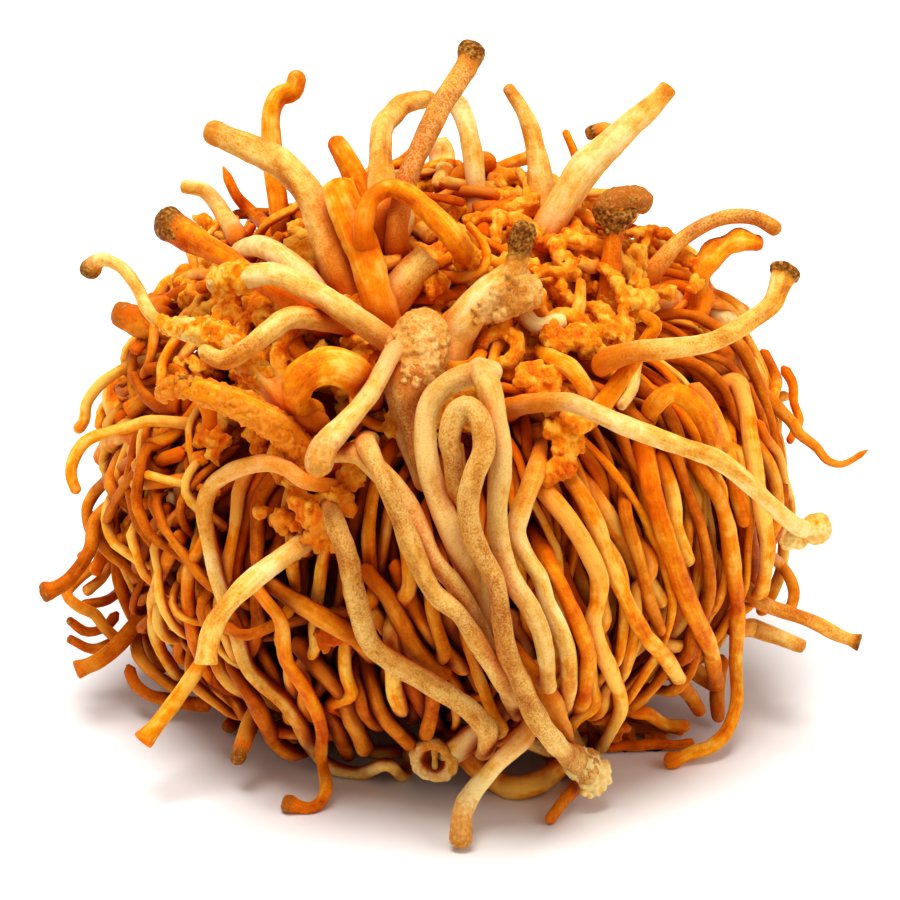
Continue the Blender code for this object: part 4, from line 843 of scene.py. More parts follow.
FLESH_STOPS = (0.42, 0.60, 0.76, 0.94)  # where a finish's colours stand along their ramp
CRUST_STOPS = (0.36, 0.46, 0.56, 0.66)
LOOSE_NUMBER = 200  # numbers, and so patterns, of the loose stems and the curtain's start here
CURTAIN_NUMBER = 400


def gloom(points: Array) -> Array:
    """How strong the painted shade in the gaps is: darkest low down beside the front tuft, and lighter
    towards both sides.
    """
    beside = np.exp(-((points[..., 0] - GLOOM_AT) / GLOOM_WIDTH) ** 2)
    return np.clip(0.30 + 0.70 * beside - (points[..., 2] - HEAP_MIDDLE) / GLOOM_HEIGHT, GLOOM_LEAST, 1.0)


def depth_mark(points: Array, start: float = DEEP_FROM) -> Array:
    """Painted shade from depth: 0 outside the start's level on the heap's shell, 1 deep inside it."""
    return np.clip((start - shell(points)) / DEEP_SPAN, 0, 1)


class Crowding:
    """Where the stems' middles lie, so that a skin gets painted shade, darker and redder, where another stem
    is close.
    """

    reach = 2.5 * MM
    spot_step = 1.2 * MM

    def __init__(self, strands: list) -> None:
        """Reads the strands' middles.

        Args:
            strands: Every strand that can lie close to another.
        """
        spots, radii, owners = [], [], []
        for number, strand in enumerate(strands):
            run = along(strand.points)
            stops = np.linspace(0, run[-1], max(4, round(run[-1] / self.spot_step)))
            spots.append(at_stops(strand.points, run, stops))
            radii.append(np.interp(stops, run, strand.radii))
            owners.append(np.full(len(stops), number))
        self.spots = np.vstack(spots)
        self.radii = np.concatenate(radii)
        self.owners = np.concatenate(owners)
        self.numbers = {id(strand): number for number, strand in enumerate(strands)}
        self.tree = KDTree(len(self.spots))
        for index, spot in enumerate(self.spots):
            self.tree.insert(spot, index)
        self.tree.balance()

    def around(self, strand: object, points: Array, radii: Array, out: Array) -> Array:
        """How close another stem is to each place of the skin.

        Args:
            strand: The strand in the skin.
            points: The rings' middles.
            radii: Their radii.
            out: The direction to each place of each ring.

        Returns:
            A share for each place, 0 where it is open.
        """
        own = self.numbers.get(id(strand), -1)
        widest = float(self.radii.max())
        shares = np.zeros(out.shape[:2])
        stops = np.unique(np.append(np.arange(0, len(points), 2), len(points) - 1))
        for ring in stops:
            found = self.tree.find_range(points[ring], radii[ring] + widest + self.reach)
            near = [index for _, index, _ in found if self.owners[index] != own]
            if not near:
                continue
            across = self.spots[near] - points[ring]
            apart = np.maximum(np.linalg.norm(across, axis=1), 1e-9)
            close = np.clip(1 - (apart - radii[ring] - self.radii[near]) / self.reach, 0, 1)
            facing = np.maximum(out[ring] @ (across / apart[:, None]).T, 0)
            shares[ring] = (facing ** 1.5 * close).max(axis=1)
        for side in range(shares.shape[1]):
            shares[:, side] = np.interp(np.arange(len(points)), stops, shares[stops, side])
        return shares


def frames(points: Array) -> tuple[Array, Array, Array]:
    """Directions along a line and across it, which turn as little as possible.

    Args:
        points: The line's points.

    Returns:
        The tangents, and two cross directions for each point.
    """
    tangents = unit(np.gradient(points, axis=0))
    start = np.cross(tangents[0], (0.31, 0.17, 0.93))
    sides = [unit(start)]
    for step in range(1, len(points)):
        side = sides[-1] - tangents[step] * (sides[-1] @ tangents[step])
        sides.append(side / np.linalg.norm(side))
    sides = np.array(sides)
    return tangents, sides, np.cross(tangents, sides)


def add_strand(skin: Skin, strand: Strand, crowding: Crowding) -> None:
    """Wraps a strand in its skin: rings along it, its end's own profile, and the relief.

    Args:
        skin: Where the skin is added.
        strand: What it is wrapped round.
        crowding: Where the other stems are.
    """
    run = along(strand.points)
    length = run[-1]
    ending = strand.ending
    swell = 1 + (ending.knob - 1) * eased(1 - (length - run) / (ending.reach * MM))
    radii = strand.radii * swell
    tangents, side, up = frames(strand.points)
    ahead = np.array([row[0] for row in ending.tip.value[1:]]) * radii[-1]
    shares = np.array([row[1] for row in ending.tip.value[1:]])
    points = np.vstack([strand.points, strand.points[-1] + tangents[-1] * ahead[:, None]])
    radii = np.concatenate([radii, radii[-1] * shares])
    side = np.vstack([side, np.repeat(side[-1:], len(ahead), axis=0)])
    up = np.vstack([up, np.repeat(up[-1:], len(ahead), axis=0)])
    run = np.concatenate([run, length + np.abs(ahead)])
    if strand.both_ends:
        radii[0] *= 0.3

    turn = np.linspace(0, 2 * math.pi, strand.sides, endpoint=False)
    cos, sin = np.cos(turn), np.sin(turn)
    out = side[:, None] * cos[None, :, None] + up[:, None] * sin[None, :, None]
    rings = points[:, None] + out * radii[:, None, None]
    runs = np.broadcast_to(run[:, None], out.shape[:2])
    grain = np.stack([radii[:, None] * cos, radii[:, None] * sin, runs], axis=-1) + strand.seed * GRAIN_STRIDE

    near_end = eased(1 - (length - run) / (ending.fade * MM))[:, None]
    surface = strand.surface
    lumps = noise(rings, surface.lump_mm * MM, strand.seed)
    small = noise(rings, surface.lump_mm * MM * 0.42, strand.seed + 1)
    furrow_size = np.array([surface.furrow_mm, surface.furrow_mm, surface.furrow_mm * 9]) * MM
    furrows = noise(grain, furrow_size, strand.seed + 2)
    crumbs = noise(rings, CRUMB_MM * MM, strand.seed + 3)
    lean = noise(np.column_stack([run, run * 0, run * 0]) + strand.seed, 16 * MM, 5)[:, None] * math.pi
    oval = surface.flat * np.cos(2 * (turn[None, :] - lean - strand.seed))
    relief = surface.lumps * (lumps + 0.45 * small) + surface.furrows * furrows
    relief = relief + ending.crumble * near_end * crumbs
    rings = points[:, None] + out * (radii[:, None] * (1 + relief + oval))[..., None]

    count, sides = rings.shape[:2]
    verts = np.vstack([rings.reshape(-1, 3), points[:1], points[-1:]])
    verts[:, 2] = np.maximum(verts[:, 2], 0)
    index = np.arange(count * sides).reshape(count, sides)
    following = np.roll(index, -1, axis=1)
    quads = np.stack([index[:-1], following[:-1], following[1:], index[1:]], axis=-1).reshape(-1, 4)
    first, last = count * sides, count * sides + 1
    tris = np.vstack([np.column_stack([following[0], index[0], np.full(sides, first)]),
                      np.column_stack([index[-1], following[-1], np.full(sides, last)])])

    browning = (near_end * ending.browning) * np.ones(sides)
    fade = ROOT_SHARE * length if strand.both_ends else max(ROOT_FADE, ROOT_SHARE * length)
    rooted = strand.rooting * np.exp(-(run / fade) ** 2)[:, None] * np.ones(sides)
    # painted shade: deep in the heap, beside other stems, and on skins facing down or into the heap, most by
    # the front tuft
    shade = depth_mark(rings) + CROWDED * crowding.around(strand, points, radii, out)
    facing = np.sum(out * unit(points - MIDDLE)[:, None], axis=-1)
    turned_away = UNDERSIDE * np.maximum(-out[..., 2], 0) + INWARD * eased((0.5 - facing) / 1.1)
    shade = shade + turned_away * np.clip((1.16 - shell(points)) / 0.16, 0, 1)[:, None]
    shade = np.clip(shade * gloom(rings) * strand.shading, 0, 1)
    # painted shade inside hollow and cupped ends
    if ending.tip in (Tip.HOLLOW, Tip.CUP):
        shade[-3:] = np.maximum(shade[-3:], np.array([0.6, 0.9, 0.9])[:, None])
    marks = np.stack([browning, np.clip(rooted, 0, 1), shade], axis=-1).reshape(-1, 3)
    height = np.clip(relief / (surface.lumps + surface.furrows + 0.02), -1, 1).reshape(-1)
    ends = [0, -1]
    skin.add(verts, quads, tris, grain=np.vstack([grain.reshape(-1, 3), grain[ends, 0]]),
             marks=np.vstack([marks, marks[ends]]), tone=np.full(len(verts), strand.tone),
             relief=np.concatenate([height, height[ends]]))


def srgb(code: str) -> tuple[float, float, float, float]:
    """Turns a colour to linear.

    Args:
        code: An sRGB hex colour.

    Returns:
        Linear RGBA.
    """
    parts = [int(code[i:i + 2], 16) / 255 for i in (0, 2, 4)]
    linear = [p / 12.92 if p <= 0.04045 else ((p + 0.055) / 1.055) ** 2.4 for p in parts]
    return (*linear, 1.0)


def fill(made: bpy.types.Node, inputs: dict) -> None:
    """Links or fills a node's inputs.

    Args:
        made: The node.
        inputs: By socket name or number, a value or the socket to link from.
    """
    for key, value in inputs.items():
        if isinstance(value, bpy.types.NodeSocket):
            made.id_data.links.new(value, made.inputs[key])
        else:
            made.inputs[key].default_value = value


def node(tree: bpy.types.NodeTree, kind: str, inputs: dict, output: int | str = 0, stops: tuple = (),
         **settings: object) -> bpy.types.NodeSocket:
    """Adds a node with its settings, and links or fills its inputs.

    Args:
        tree: The material's node tree.
        kind: The node's type, without the words that all shader nodes share.
        inputs: By socket name or number, a value or the socket to link from.
        output: The output that is wanted, by name or number.
        stops: Rows of (position, hex colour), where the node is a colour ramp.
        settings: The node's own properties.

    Returns:
        The wanted output.
    """
    made = tree.nodes.new("ShaderNode" + kind)
    for key, value in settings.items():
        setattr(made, key, value)
    for number, (position, code) in enumerate(stops):
        elements = made.color_ramp.elements
        if number >= len(elements):
            elements.new(position)
        elements[number].position = position
        elements[number].color = srgb(code)
    fill(made, inputs)
    return made.outputs[output]


@dataclass(frozen=True)
class FleshFinish:
    """Air-dried fungus flesh: waxy, with fine lengthwise wrinkles, and dusted with its own pale powder."""

    name: str
    slot: Finish
    dark: str
    middle: str
    light: str
    pale: str
    root: str
    # deep is the deep red brown of the painted shade between the stems and inside the heap
    deep: str
    dust: str
    dusting: float
    roughness: float
    warm_tip: str = "DE6808"
    crust: tuple = ("643814", "84501E", "9E682A", "BC8A46")
    # the warm red orange of the painted shade in shallower gaps
    painted_shade_warm: str = "CA4800"
    grain_mm: float = 0.045
    wrinkle_mm: float = 0.55
    wrinkle_rise_mm: float = 0.10
    patch_mm: float = 4.5
    speck_mm: float = 0.30
    glow: float = 0.22
    glow_mm: float = 1.0
    gloss: float = 0.15
    root_share: float = 0.8

    def build(self) -> bpy.types.Material:
        """Makes the material.

        Returns:
            The material.
        """
        made = bpy.data.materials.new(self.name)
        made.use_nodes = True
        tree = made.node_tree
        tone, relief, grain, marks = (
            node(tree, "Attribute", {}, part, attribute_name=key)
            for key, part in (("tone", "Fac"), ("relief", "Fac"), ("grain", "Vector"), ("marks", "Vector")))
        browning, rooted, deep = node(tree, "SeparateXYZ", {0: marks}).node.outputs
        place = node(tree, "TexCoord", {}, "Object")

        # wrinkles run along the stem, about eight times as long as they are wide, and patches twice
        stretched, drawn_out = (
            node(tree, "Mapping", {"Vector": grain, "Scale": np.array([1, 1, 1 / times]) / (width * MM)})
            for width, times in ((self.wrinkle_mm, 8), (self.patch_mm, 2)))
        textures = (
            (stretched, 1.0, 3.0, 0.6),
            (drawn_out, 1.0, 3.0, 0.55),
            (place, 1 / (self.speck_mm * MM), 2.0, 0.7),
            (place, 1 / (MOTTLE_MM * MM), 2.0, 0.6),
            (place, 1 / (CRUMB_MM * MM), 2.0, 0.5),
        )
        wrinkle, patch, speck, mottle, crumb = (
            node(tree, "TexNoise", {"Vector": where, "Scale": scale, "Detail": detail, "Roughness": rough})
            for where, scale, detail, rough in textures)

        # the ramp's level adds relief too, which paints raised lumps paler as a painted highlight and hollows
        # darker as painted shade
        level = -0.10
        for value, weight in ((mottle, 0.42), (patch, 0.85), (wrinkle, 0.45), (tone, 0.16), (relief, 0.20)):
            level = node(tree, "Math", {0: value, 1: weight, 2: level}, operation="MULTIPLY_ADD")
        flesh = (self.dark, self.middle, self.light, self.pale)
        colour = node(tree, "ValToRGB", {0: level}, stops=tuple(zip(FLESH_STOPS, flesh)))

        # the powder lies in grains, thicker in some patches and thin where a stem is rooted
        thick = node(tree, "MapRange", {0: patch, 1: 0.38, 2: 0.58, 3: 0.4 * self.dusting, 4: self.dusting})
        free = node(tree, "Math", {0: rooted, 1: -0.8, 2: 1.0}, operation="MULTIPLY_ADD")
        powder = node(tree, "Math", {0: thick, 1: free}, operation="MULTIPLY")
        # old tips are crusted: dark brown pits between lighter grains
        crust = node(tree, "ValToRGB", {0: crumb}, stops=tuple(zip(CRUST_STOPS, self.crust)))
        ended = node(tree, "Math", {0: crumb, 1: 0.7, 2: browning}, operation="MULTIPLY_ADD")
        browned = node(tree, "MapRange", {0: ended, 1: 0.80, 2: 1.02, 3: 0.0, 4: 1.0})
        # painted shade between the stems and deep in the heap: a warm red orange first, then a deep red brown
        veils = (
            (rooted, 0.0, 1.0, self.root_share, srgb(self.root)),
            (speck, 0.40, 0.60, powder, srgb(self.dust)),
            (speck, 0.36, 0.28, 0.3, srgb(self.crust[1])),
            (ended, 0.42, 0.75, 0.65, srgb(self.warm_tip)),
            (browned, 0.0, 1.0, 1.0, crust),
            (deep, 0.05, 0.6, 0.75, srgb(self.painted_shade_warm)),
            (deep, 0.35, 1.0, 0.92, srgb(self.deep)),
        )
        for value, low, high, most, veil in veils:
            share = node(tree, "MapRange", {0: value, 1: low, 2: high, 3: 0.0, 4: most})
            colour = node(tree, "Mix", {"Factor": share, 6: colour, 7: veil}, 2, data_type="RGBA")

        rough = {0: wrinkle, 1: 0.3, 2: 0.7, 3: self.roughness - 0.08, 4: self.roughness + 0.1}
        pitted = node(tree, "Math", {0: crumb, 1: browned}, operation="MULTIPLY")
        below = {}
        for height, rise in ((wrinkle, self.wrinkle_rise_mm), (speck, self.grain_mm), (pitted, PIT_MM)):
            bump = node(tree, "Bump", {"Strength": 1.0, "Distance": rise * MM, "Height": height, **below})
            below = {"Normal": bump}
        # a dry, dusty skin shines little, and its oily film is yellow
        fill(tree.nodes["Principled BSDF"], {
            "Base Color": colour, "Roughness": node(tree, "MapRange", rough), "Normal": bump, "IOR": 1.45,
            "Specular IOR Level": self.gloss, "Specular Tint": srgb("FFC890"), "Subsurface Weight": self.glow,
            "Subsurface Radius": (1.0, 0.45, 0.15), "Subsurface Scale": self.glow_mm * MM})
        return made


# Young, smooth fruiting bodies, air-dried: saturated orange with a satin, slightly waxy skin.
ORANGE_FLESH = FleshFinish("air_dried_orange_flesh", ORANGE, dark="B84200", middle="DE7000", light="EE9808",
                           pale="F8C860", root="DC6400", deep="922000", dust="F4B84C", dusting=0.26,
                           roughness=0.48, glow=0.3, glow_mm=1.4)
# Older, thicker stems, dried pale: creamy yellow skin that stays orange towards the crown.
PALE_FLESH = FleshFinish("air_dried_pale_flesh", PALE, dark="BC6406", middle="DC9020", light="EAB650",
                         pale="F4D894", root="E07400", deep="8A2600", dust="F4DA98", dusting=0.42,
                         roughness=0.58, warm_tip="CE760E", glow=0.25, glow_mm=1.4, root_share=0.85,
                         grain_mm=0.08)
# Stems under a coat of their own spore powder: matt tan, with orange flesh showing where it is rubbed off.
POWDERY_FLESH = FleshFinish("spore_dusted_flesh", POWDERY, dark="AC5C0C", middle="C68228", light="D89E44",
                            pale="E8BC6C", root="CC720C", deep="7A2400", dust="ECCC8C", dusting=0.7,
                            roughness=0.8, wrinkle_mm=0.7, speck_mm=0.3, glow=0.15, root_share=0.4,
                            grain_mm=0.14)
# Thin, darker stems of the underside: amber where the light goes through, brown where they are thick.
AMBER_FLESH = FleshFinish("air_dried_amber_flesh", AMBER, dark="983C00", middle="C45E04", light="D87C0E",
                          pale="E89C36", root="B85000", deep="5A1400", dust="EAAE48", dusting=0.24,
                          roughness=0.48, painted_shade_warm="9C3200", glow=0.25)
# The crumbled mycelium that the stems grow from: matt, bright orange crumbs, with raised tops painted
# yellower as a highlight.
CRUMBLED_CROWN = FleshFinish("crumbled_orange_mycelium", CROWN, dark="C04400", middle="E67200",
                             light="F29410", pale="FABC48", root="C85A00", deep="7E1C00", dust="FAC060",
                             dusting=0.3, roughness=0.65, wrinkle_mm=0.6, wrinkle_rise_mm=0.14, patch_mm=2.4,
                             speck_mm=0.42, glow=0.3, glow_mm=1.2, grain_mm=0.24)


def placed(name: str, data: bpy.types.ID, place: Array | tuple = (0, 0, 0),
           way: Array | tuple | None = None) -> bpy.types.Object:
    """Puts an object into the scene.

    Args:
        name: The object's name.
        data: Its mesh, light or camera.
        place: Where it is.
        way: The direction that it looks or shines in.

    Returns:
        The object.
    """
    made = bpy.data.objects.new(name, data)
    bpy.context.scene.collection.objects.link(made)
    made.location = place
    if way is not None:
        made.rotation_mode = "QUATERNION"
        made.rotation_quaternion = Vector(way).to_track_quat("-Z", "Y")
    return made


@dataclass
class Dresser:
    """Puts finished meshes into the scene on the frame's one body."""

    materials: dict = field(default_factory=dict)
    body: str = "root"

    def __post_init__(self) -> None:
        """Makes the finishes."""
        for finish in (ORANGE_FLESH, PALE_FLESH, POWDERY_FLESH, AMBER_FLESH, CRUMBLED_CROWN):
            self.materials[finish.slot] = finish.build()

    def dress(self, name: str, mesh: bpy.types.Mesh, finish: Finish, nodes: tuple) -> None:
        """Makes a piece of the mesh, in its finish.

        Args:
            name: The piece's name.
            mesh: Its mesh.
            finish: Its finish and slot.
            nodes: The solids that it stands for.
        """
        mesh.materials.append(self.materials[finish])
        piece = placed(name, mesh)
        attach(piece, self.body)
        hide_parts(*nodes)
        LOG.info("%s: %d faces", name, len(mesh.polygons))


@dataclass
class MainStems:
    """The stems that show whole: horns of the crown, the front tuft and the curtain's outermost stems."""

    dresser: Dresser
    lay: Lay
    ring_step: float = 0.58 * MM
    facet: float = 0.46 * MM
    root_reach: float = 8.0 * MM
    root_swell: float = 0.12
    strands: list = field(default_factory=list)

    def line(self, stem: Stem) -> tuple[Array, Array]:
        """The stem's fine centre line and radii, laid as its solid is.

        Args:
            stem: The stem.

        Returns:
            Points and radii, ring by ring.
        """
        fine = smooth_line(stem_rows(stem))
        run = along(fine)
        length = run[-1]
        tip = stem.thick[-1] * MM / 2 * TIP_LENGTH
        count = max(3, round((length - tip) / ROUTE_STEP) + 1)
        stops = np.append(np.linspace(0, length - tip, count), length)
        places = at_stops(fine, run, stops)
        radii = np.interp(stops / length, np.linspace(0, 1, len(stem.thick)), stem.thick) * MM / 2
        radii[-1] *= 0.5
        flat = places[:, 2].copy()
        laid = self.lay.add(places, radii)
        lifts = smooth_line(np.column_stack([stops, laid[:, 2] - flat]))
        steps = np.linspace(0, length - tip, max(6, round((length - tip) / self.ring_step)))
        rows = at_stops(fine, run, steps)
        rows[:, 2] += np.interp(steps, lifts[:, 0], lifts[:, 1])
        share = np.linspace(0, 1, len(stem.thick))
        thick = smooth_line(np.column_stack([share, stem.thick]))
        ring_radii = np.interp(steps / length, thick[:, 0], thick[:, 1]) * MM / 2
        return to_world(rows), ring_radii

    def rooted(self, points: Array, radii: Array) -> tuple[Array, Array]:
        """Adds a root that bends down into the heap.

        Args:
            points: The stem's line.
            radii: Its radii.

        Returns:
            The line and radii with the root before them.
        """
        down = unit(MIDDLE - points[0])
        back = unit(points[0] - points[3])
        count = round(self.root_reach / self.ring_step)
        share = np.linspace(1, 0, count, endpoint=False)[:, None]
        reach = share * self.root_reach
        root = points[0] + back * reach * (1 - 0.65 * share) + down * reach * 0.65 * share
        swell = radii[0] * (1 + self.root_swell * share[:, 0])
        return np.vstack([root, points]), np.concatenate([swell, radii])

    def trace(self) -> None:
        """Lays every main stem."""
        for number, stem in enumerate(STEMS):
            points, radii = self.line(stem)
            dives = stem.lean is None and stem.route[-1][2] < 0
            points, radii = self.rooted(points, radii)
            if dives:
                points, radii = self.rooted(points[::-1], radii[::-1])
                points, radii = points[::-1], radii[::-1]
            ending = Ending(browning=0.0) if dives else stem.ending
            tone = math.sin(number * 2.4) * 0.8 if stem.tone is None else stem.tone
            sides = int(np.clip(2 * math.pi * radii.max() / self.facet, 20, 36))
            rooting = 0.35 if stem.finish is Finish.POWDERY else 1.0
            strand = Strand(points, radii, ending, stem.surface, tone, number, sides, dives, rooting)
            self.strands.append(strand)

    def build(self, crowding: Crowding) -> None:
        """Makes every main stem as a piece of its own.

        Args:
            crowding: Where the other stems are.
        """
        for stem, strand in zip(STEMS, self.strands):
            skin = Skin()
            add_strand(skin, strand, crowding)
            nodes = ("bunch_heart",) if stem.fused else (stem.name,)
            self.dresser.dress(stem.name + "_flesh", skin.mesh(stem.name + "_flesh"), stem.finish, nodes)


@dataclass
class LooseStems:
    """Small stems and curls between the main ones, tucked under them."""

    dresser: Dresser
    lay: Lay
    ring_step: float = 0.8 * MM
    sides: int = 14
    coarse_step: float = 2.4 * MM
    root_reach: float = 3.0 * MM
    strands: list = field(default_factory=list)

    def line(self, loose: Loose) -> tuple[Array, Array]:
        """Tucks a stem under what it crosses.

        Args:
            loose: The stem.

        Returns:
            The points of its fine centre line, and their radii.
        """
        fine = smooth_line(view_rows(loose.route))
        run = along(fine)
        stops = np.linspace(0, run[-1], max(3, round(run[-1] / self.coarse_step)))
        places = at_stops(fine, run, stops)
        thick = np.interp(stops / run[-1], np.linspace(0, 1, len(loose.thick)), loose.thick)
        places = self.lay.add(places, thick * MM / 2, under=True)
        rows = smooth_line(np.column_stack([places, thick * MM / 2]), 6)
        points = to_world(rows[:, :3])
        points[:, 2] = np.maximum(points[:, 2], rows[:, 3] + GAP)
        run = along(points)
        steps = np.linspace(0, run[-1], max(6, round(run[-1] / self.ring_step)))
        return at_stops(points, run, steps), np.interp(steps, run, rows[:, 3])

    def trace(self) -> None:
        """Lays every loose stem."""
        number = LOOSE_NUMBER
        for members in LOOSE.values():
            for loose in members:
                points, radii = self.line(loose)
                ending = Ending(loose.tip, 1.0, 1.2, loose.browning, 1.8, 0.08)
                strand = Strand(points, radii, ending, Surface(0.09, 3.2, 0.06, 0.9, 0.08),
                                math.sin(number * 1.9) * 0.8, number, self.sides, True)
                self.strands.append(strand)
                number += 1

    def build(self, crowding: Crowding) -> None:
        """Makes one piece for each group and finish.

        Args:
            crowding: Where the other stems are.
        """
        strands = iter(self.strands)
        for group, members in LOOSE.items():
            skins: dict[Finish, Skin] = {}
            for loose in members:
                add_strand(skins.setdefault(loose.finish, Skin()), next(strands), crowding)
            for finish, skin in skins.items():
                name = f"{group}_{finish.name.lower()}"
                self.dresser.dress(name, skin.mesh(name), finish, ("bunch_heart",))


def ball(subdivisions: int) -> tuple[Array, Array]:
    """A ball of radius 1.

    Args:
        subdivisions: How fine it is.

    Returns:
        Its vertices and triangles.
    """
    shape = bmesh.new()
    bmesh.ops.create_icosphere(shape, subdivisions=subdivisions, radius=1.0)
    verts = np.array([v.co[:] for v in shape.verts])
    tris = np.array([[v.index for v in f.verts] for f in shape.faces])
    shape.free()
    return verts, tris


def remeshed(name: str, verts: Array, tris: Array, voxel: float, share: float) -> bpy.types.Mesh:
    """One even skin round everything.

    Args:
        name: The mesh's name.
        verts: Vertices of closed shapes.
        tris: Their triangles.
        voxel: The skin's fineness.
        share: The share of its faces that is kept, most where it is curved.

    Returns:
        The skin.
    """
    rough = bpy.data.meshes.new(name)
    rough.from_pydata(verts.tolist(), [], tris.tolist())
    holder = placed(name + "_rough", rough)
    step = holder.modifiers.new("remesh", "REMESH")
    step.mode = "VOXEL"
    step.voxel_size = voxel
    step.use_smooth_shade = True
    holder.modifiers.new("thin", "DECIMATE").ratio = share
    evaluated = holder.evaluated_get(bpy.context.evaluated_depsgraph_get())
    made = bpy.data.meshes.new_from_object(evaluated)
    bpy.data.objects.remove(holder, do_unlink=True)
    made.name = name
    return made


def finish_mesh(mesh: bpy.types.Mesh, rises: tuple, seed: int, browning: float = 0.0,
                start: float = DEEP_FROM, sheltered: float = 0.0, tone: float = -0.25) -> bpy.types.Mesh:
    """Roughens a mesh along its normals and gives it what the materials read, with painted shade deep in the
    heap.

    Args:
        mesh: The mesh.
        rises: Rows of (lump width, lump height) in mm.
        seed: The pattern.
        browning: How brown it is.
        start: Where on the heap's shell its painted shade begins.
        sheltered: How much painted shade its lower crumbs get, counted as deep ones.
        tone: Its lightness.

    Returns:
        The same mesh.
    """
    count = len(mesh.vertices)
    points, normals = np.zeros((count, 3)), np.zeros((count, 3))
    mesh.vertices.foreach_get("co", points.ravel())
    mesh.vertex_normals.foreach_get("vector", normals.ravel())
    relief = np.zeros(count)
    for number, (width, rise) in enumerate(rises):
        relief += (2 * np.abs(noise(points, width * MM, seed + number)) - 0.5) * rise * MM
    moved = points + normals * relief[:, None]
    moved[:, 2] = np.maximum(moved[:, 2], 0)
    mesh.vertices.foreach_set("co", moved.ravel())
    # painted shade on crumbs low on the heap, and deep in it
    low = np.clip((60 * MM - moved[:, 2]) / (20 * MM), 0, 1) * sheltered
    depth = np.clip(depth_mark(moved, start) * 0.8 + low, 0, 1)
    marks = np.column_stack([np.full(count, browning), np.zeros(count), depth])
    mark_vertices(mesh, grain=moved, marks=marks, tone=noise(moved, 5 * MM, seed + 9) * 0.55 + tone,
                  relief=relief / (sum(rise for _, rise in rises) * MM))
    mesh.update()
    mesh.shade_smooth()
    return mesh


def packed_balls(balls: Array) -> tuple[Array, Array]:
    """Many balls in one.

    Args:
        balls: Rows of (x, y, z, radius).

    Returns:
        Their vertices and triangles.
    """
    round_one, faces = ball(2)
    verts = (round_one[None] * balls[:, None, 3:] + balls[:, None, :3]).reshape(-1, 3)
    tris = (faces[None] + (np.arange(len(balls)) * len(round_one))[:, None, None]).reshape(-1, 3)
    return verts, tris


@dataclass(frozen=True)
class Crust:
    """Crumbs that have grown on a stem, from one distance behind its tip to another, in mm.

    grains is the smallest and largest radius in mm. side leaves out the crumbs that don't face that way in
    the view, and lobes are single larger lumps as (x, y, radius in mm) in the view, lift mm nearer than the
    stem.
    """

    stem: str
    span: tuple
    count: int
    grains: tuple
    finish: Finish
    browning: float = 0.0
    proud: float = 0.85
    side: tuple = ()
    lobes: tuple = ()
    rough: float = 1.0
    lift: float = 0.0
    tone: float = 0.1


CRUSTS = (
    Crust("front_head", (-1.2, 7.6), 520, (0.3, 0.66), POWDERY, 0.16, 0.98, rough=1.2),
    Crust("big_pale_stem", (-0.5, 5.5), 130, (0.4, 0.8), ORANGE, 0.0, 0.98, tone=0.0),
    Crust("brown_tipped_stem", (6.0, 14.0), 320, (0.28, 0.56), POWDERY, 0.14, 1.06, (1.0, -0.4),
          ((509, 298, 1.9), (517, 291, 2.1), (525, 287, 1.9), (532, 289, 1.5), (531, 297, 1.6),
          (523, 300, 1.9), (513, 306, 1.6), (504, 310, 1.3), (497, 316, 1.0), (520, 277, 1.5)), 1.3,
          tone=0.0),
    Crust("brown_tipped_stem", (-0.3, 2.6), 60, (0.25, 0.5), POWDERY, 0.9, 0.9),
    Crust("tall_horn", (-0.5, 2.2), 60, (0.22, 0.42), POWDERY, 0.8, 0.85),
    Crust("disc_tipped_horn", (-0.7, 1.1), 130, (0.24, 0.45), POWDERY, 0.9, 0.86),
    Crust("knobbed_stem", (-0.2, 3.0), 60, (0.2, 0.42), POWDERY, 0.75, 0.86),
    Crust("orange_arch", (-0.3, 8.0), 150, (0.3, 0.7), CROWN, 0.0, 0.95),
    Crust("ribbed_stem", (0.3, 26.0), 760, (0.2, 0.4), AMBER, 0.25, 0.97, rough=1.8, tone=0.6),
    Crust("ribbed_stem", (3.4, 6.4), 46, (0.2, 0.36), AMBER, 0.7, 0.99, (0.3, 1.0)),
    Crust("hooked_left_stem", (18.0, 37.0), 620, (0.2, 0.36), ORANGE, 0.12, 0.99, rough=1.5, tone=-0.5),
    Crust("fan_main_stem", (-0.2, 2.4), 30, (0.3, 0.5), PALE, 0.05, 0.9, rough=1.5, tone=0.5,
          lobes=((574, 768, 1.5), (581, 772, 1.6), (588, 775, 1.5), (594, 771, 1.3), (600, 768, 1.1),
          (605, 766, 0.8), (596, 778, 1.3), (602, 778, 1.0), (607, 780, 0.7), (593, 784, 1.1),
          (597, 791, 0.8), (586, 785, 1.0), (584, 792, 0.7), (590, 795, 0.6), (602, 787, 0.7),
          (608, 772, 0.6))),
    Crust("brown_capped_stub", (0, 1), 0, (0.3, 0.5), POWDERY, 0.58, rough=0.6, lobes=((606, 205, 1.7),
          (612, 202, 1.9), (619, 200, 2.0), (626, 199, 2.0), (633, 198, 1.9), (639, 198, 1.7),
          (644, 201, 1.4), (642, 206, 1.2))),
    Crust("brown_capped_stub", (0, 1), 0, (0.3, 0.5), POWDERY, 1.0, lobes=((603, 211, 1.5), (609, 215, 1.7),
          (616, 217, 1.8), (622, 215, 1.7), (628, 211, 1.4), (606, 222, 1.0), (613, 225, 1.1),
          (620, 225, 1.1), (626, 221, 0.9), (600, 218, 0.9), (617, 231, 0.6), (608, 230, 0.7))),
    Crust("long_knobbed_stem", (-0.5, 1.5), 0, (0.3, 0.5), PALE, 0.14, 1.0, rough=0.3, lift=1.0, tone=0.0,
          lobes=((816, 529, 2.3), (794, 537, 1.8), (805, 531, 1.4), (820, 522, 1.4), (787, 543, 1.1),
          (799, 541, 1.3))),
)


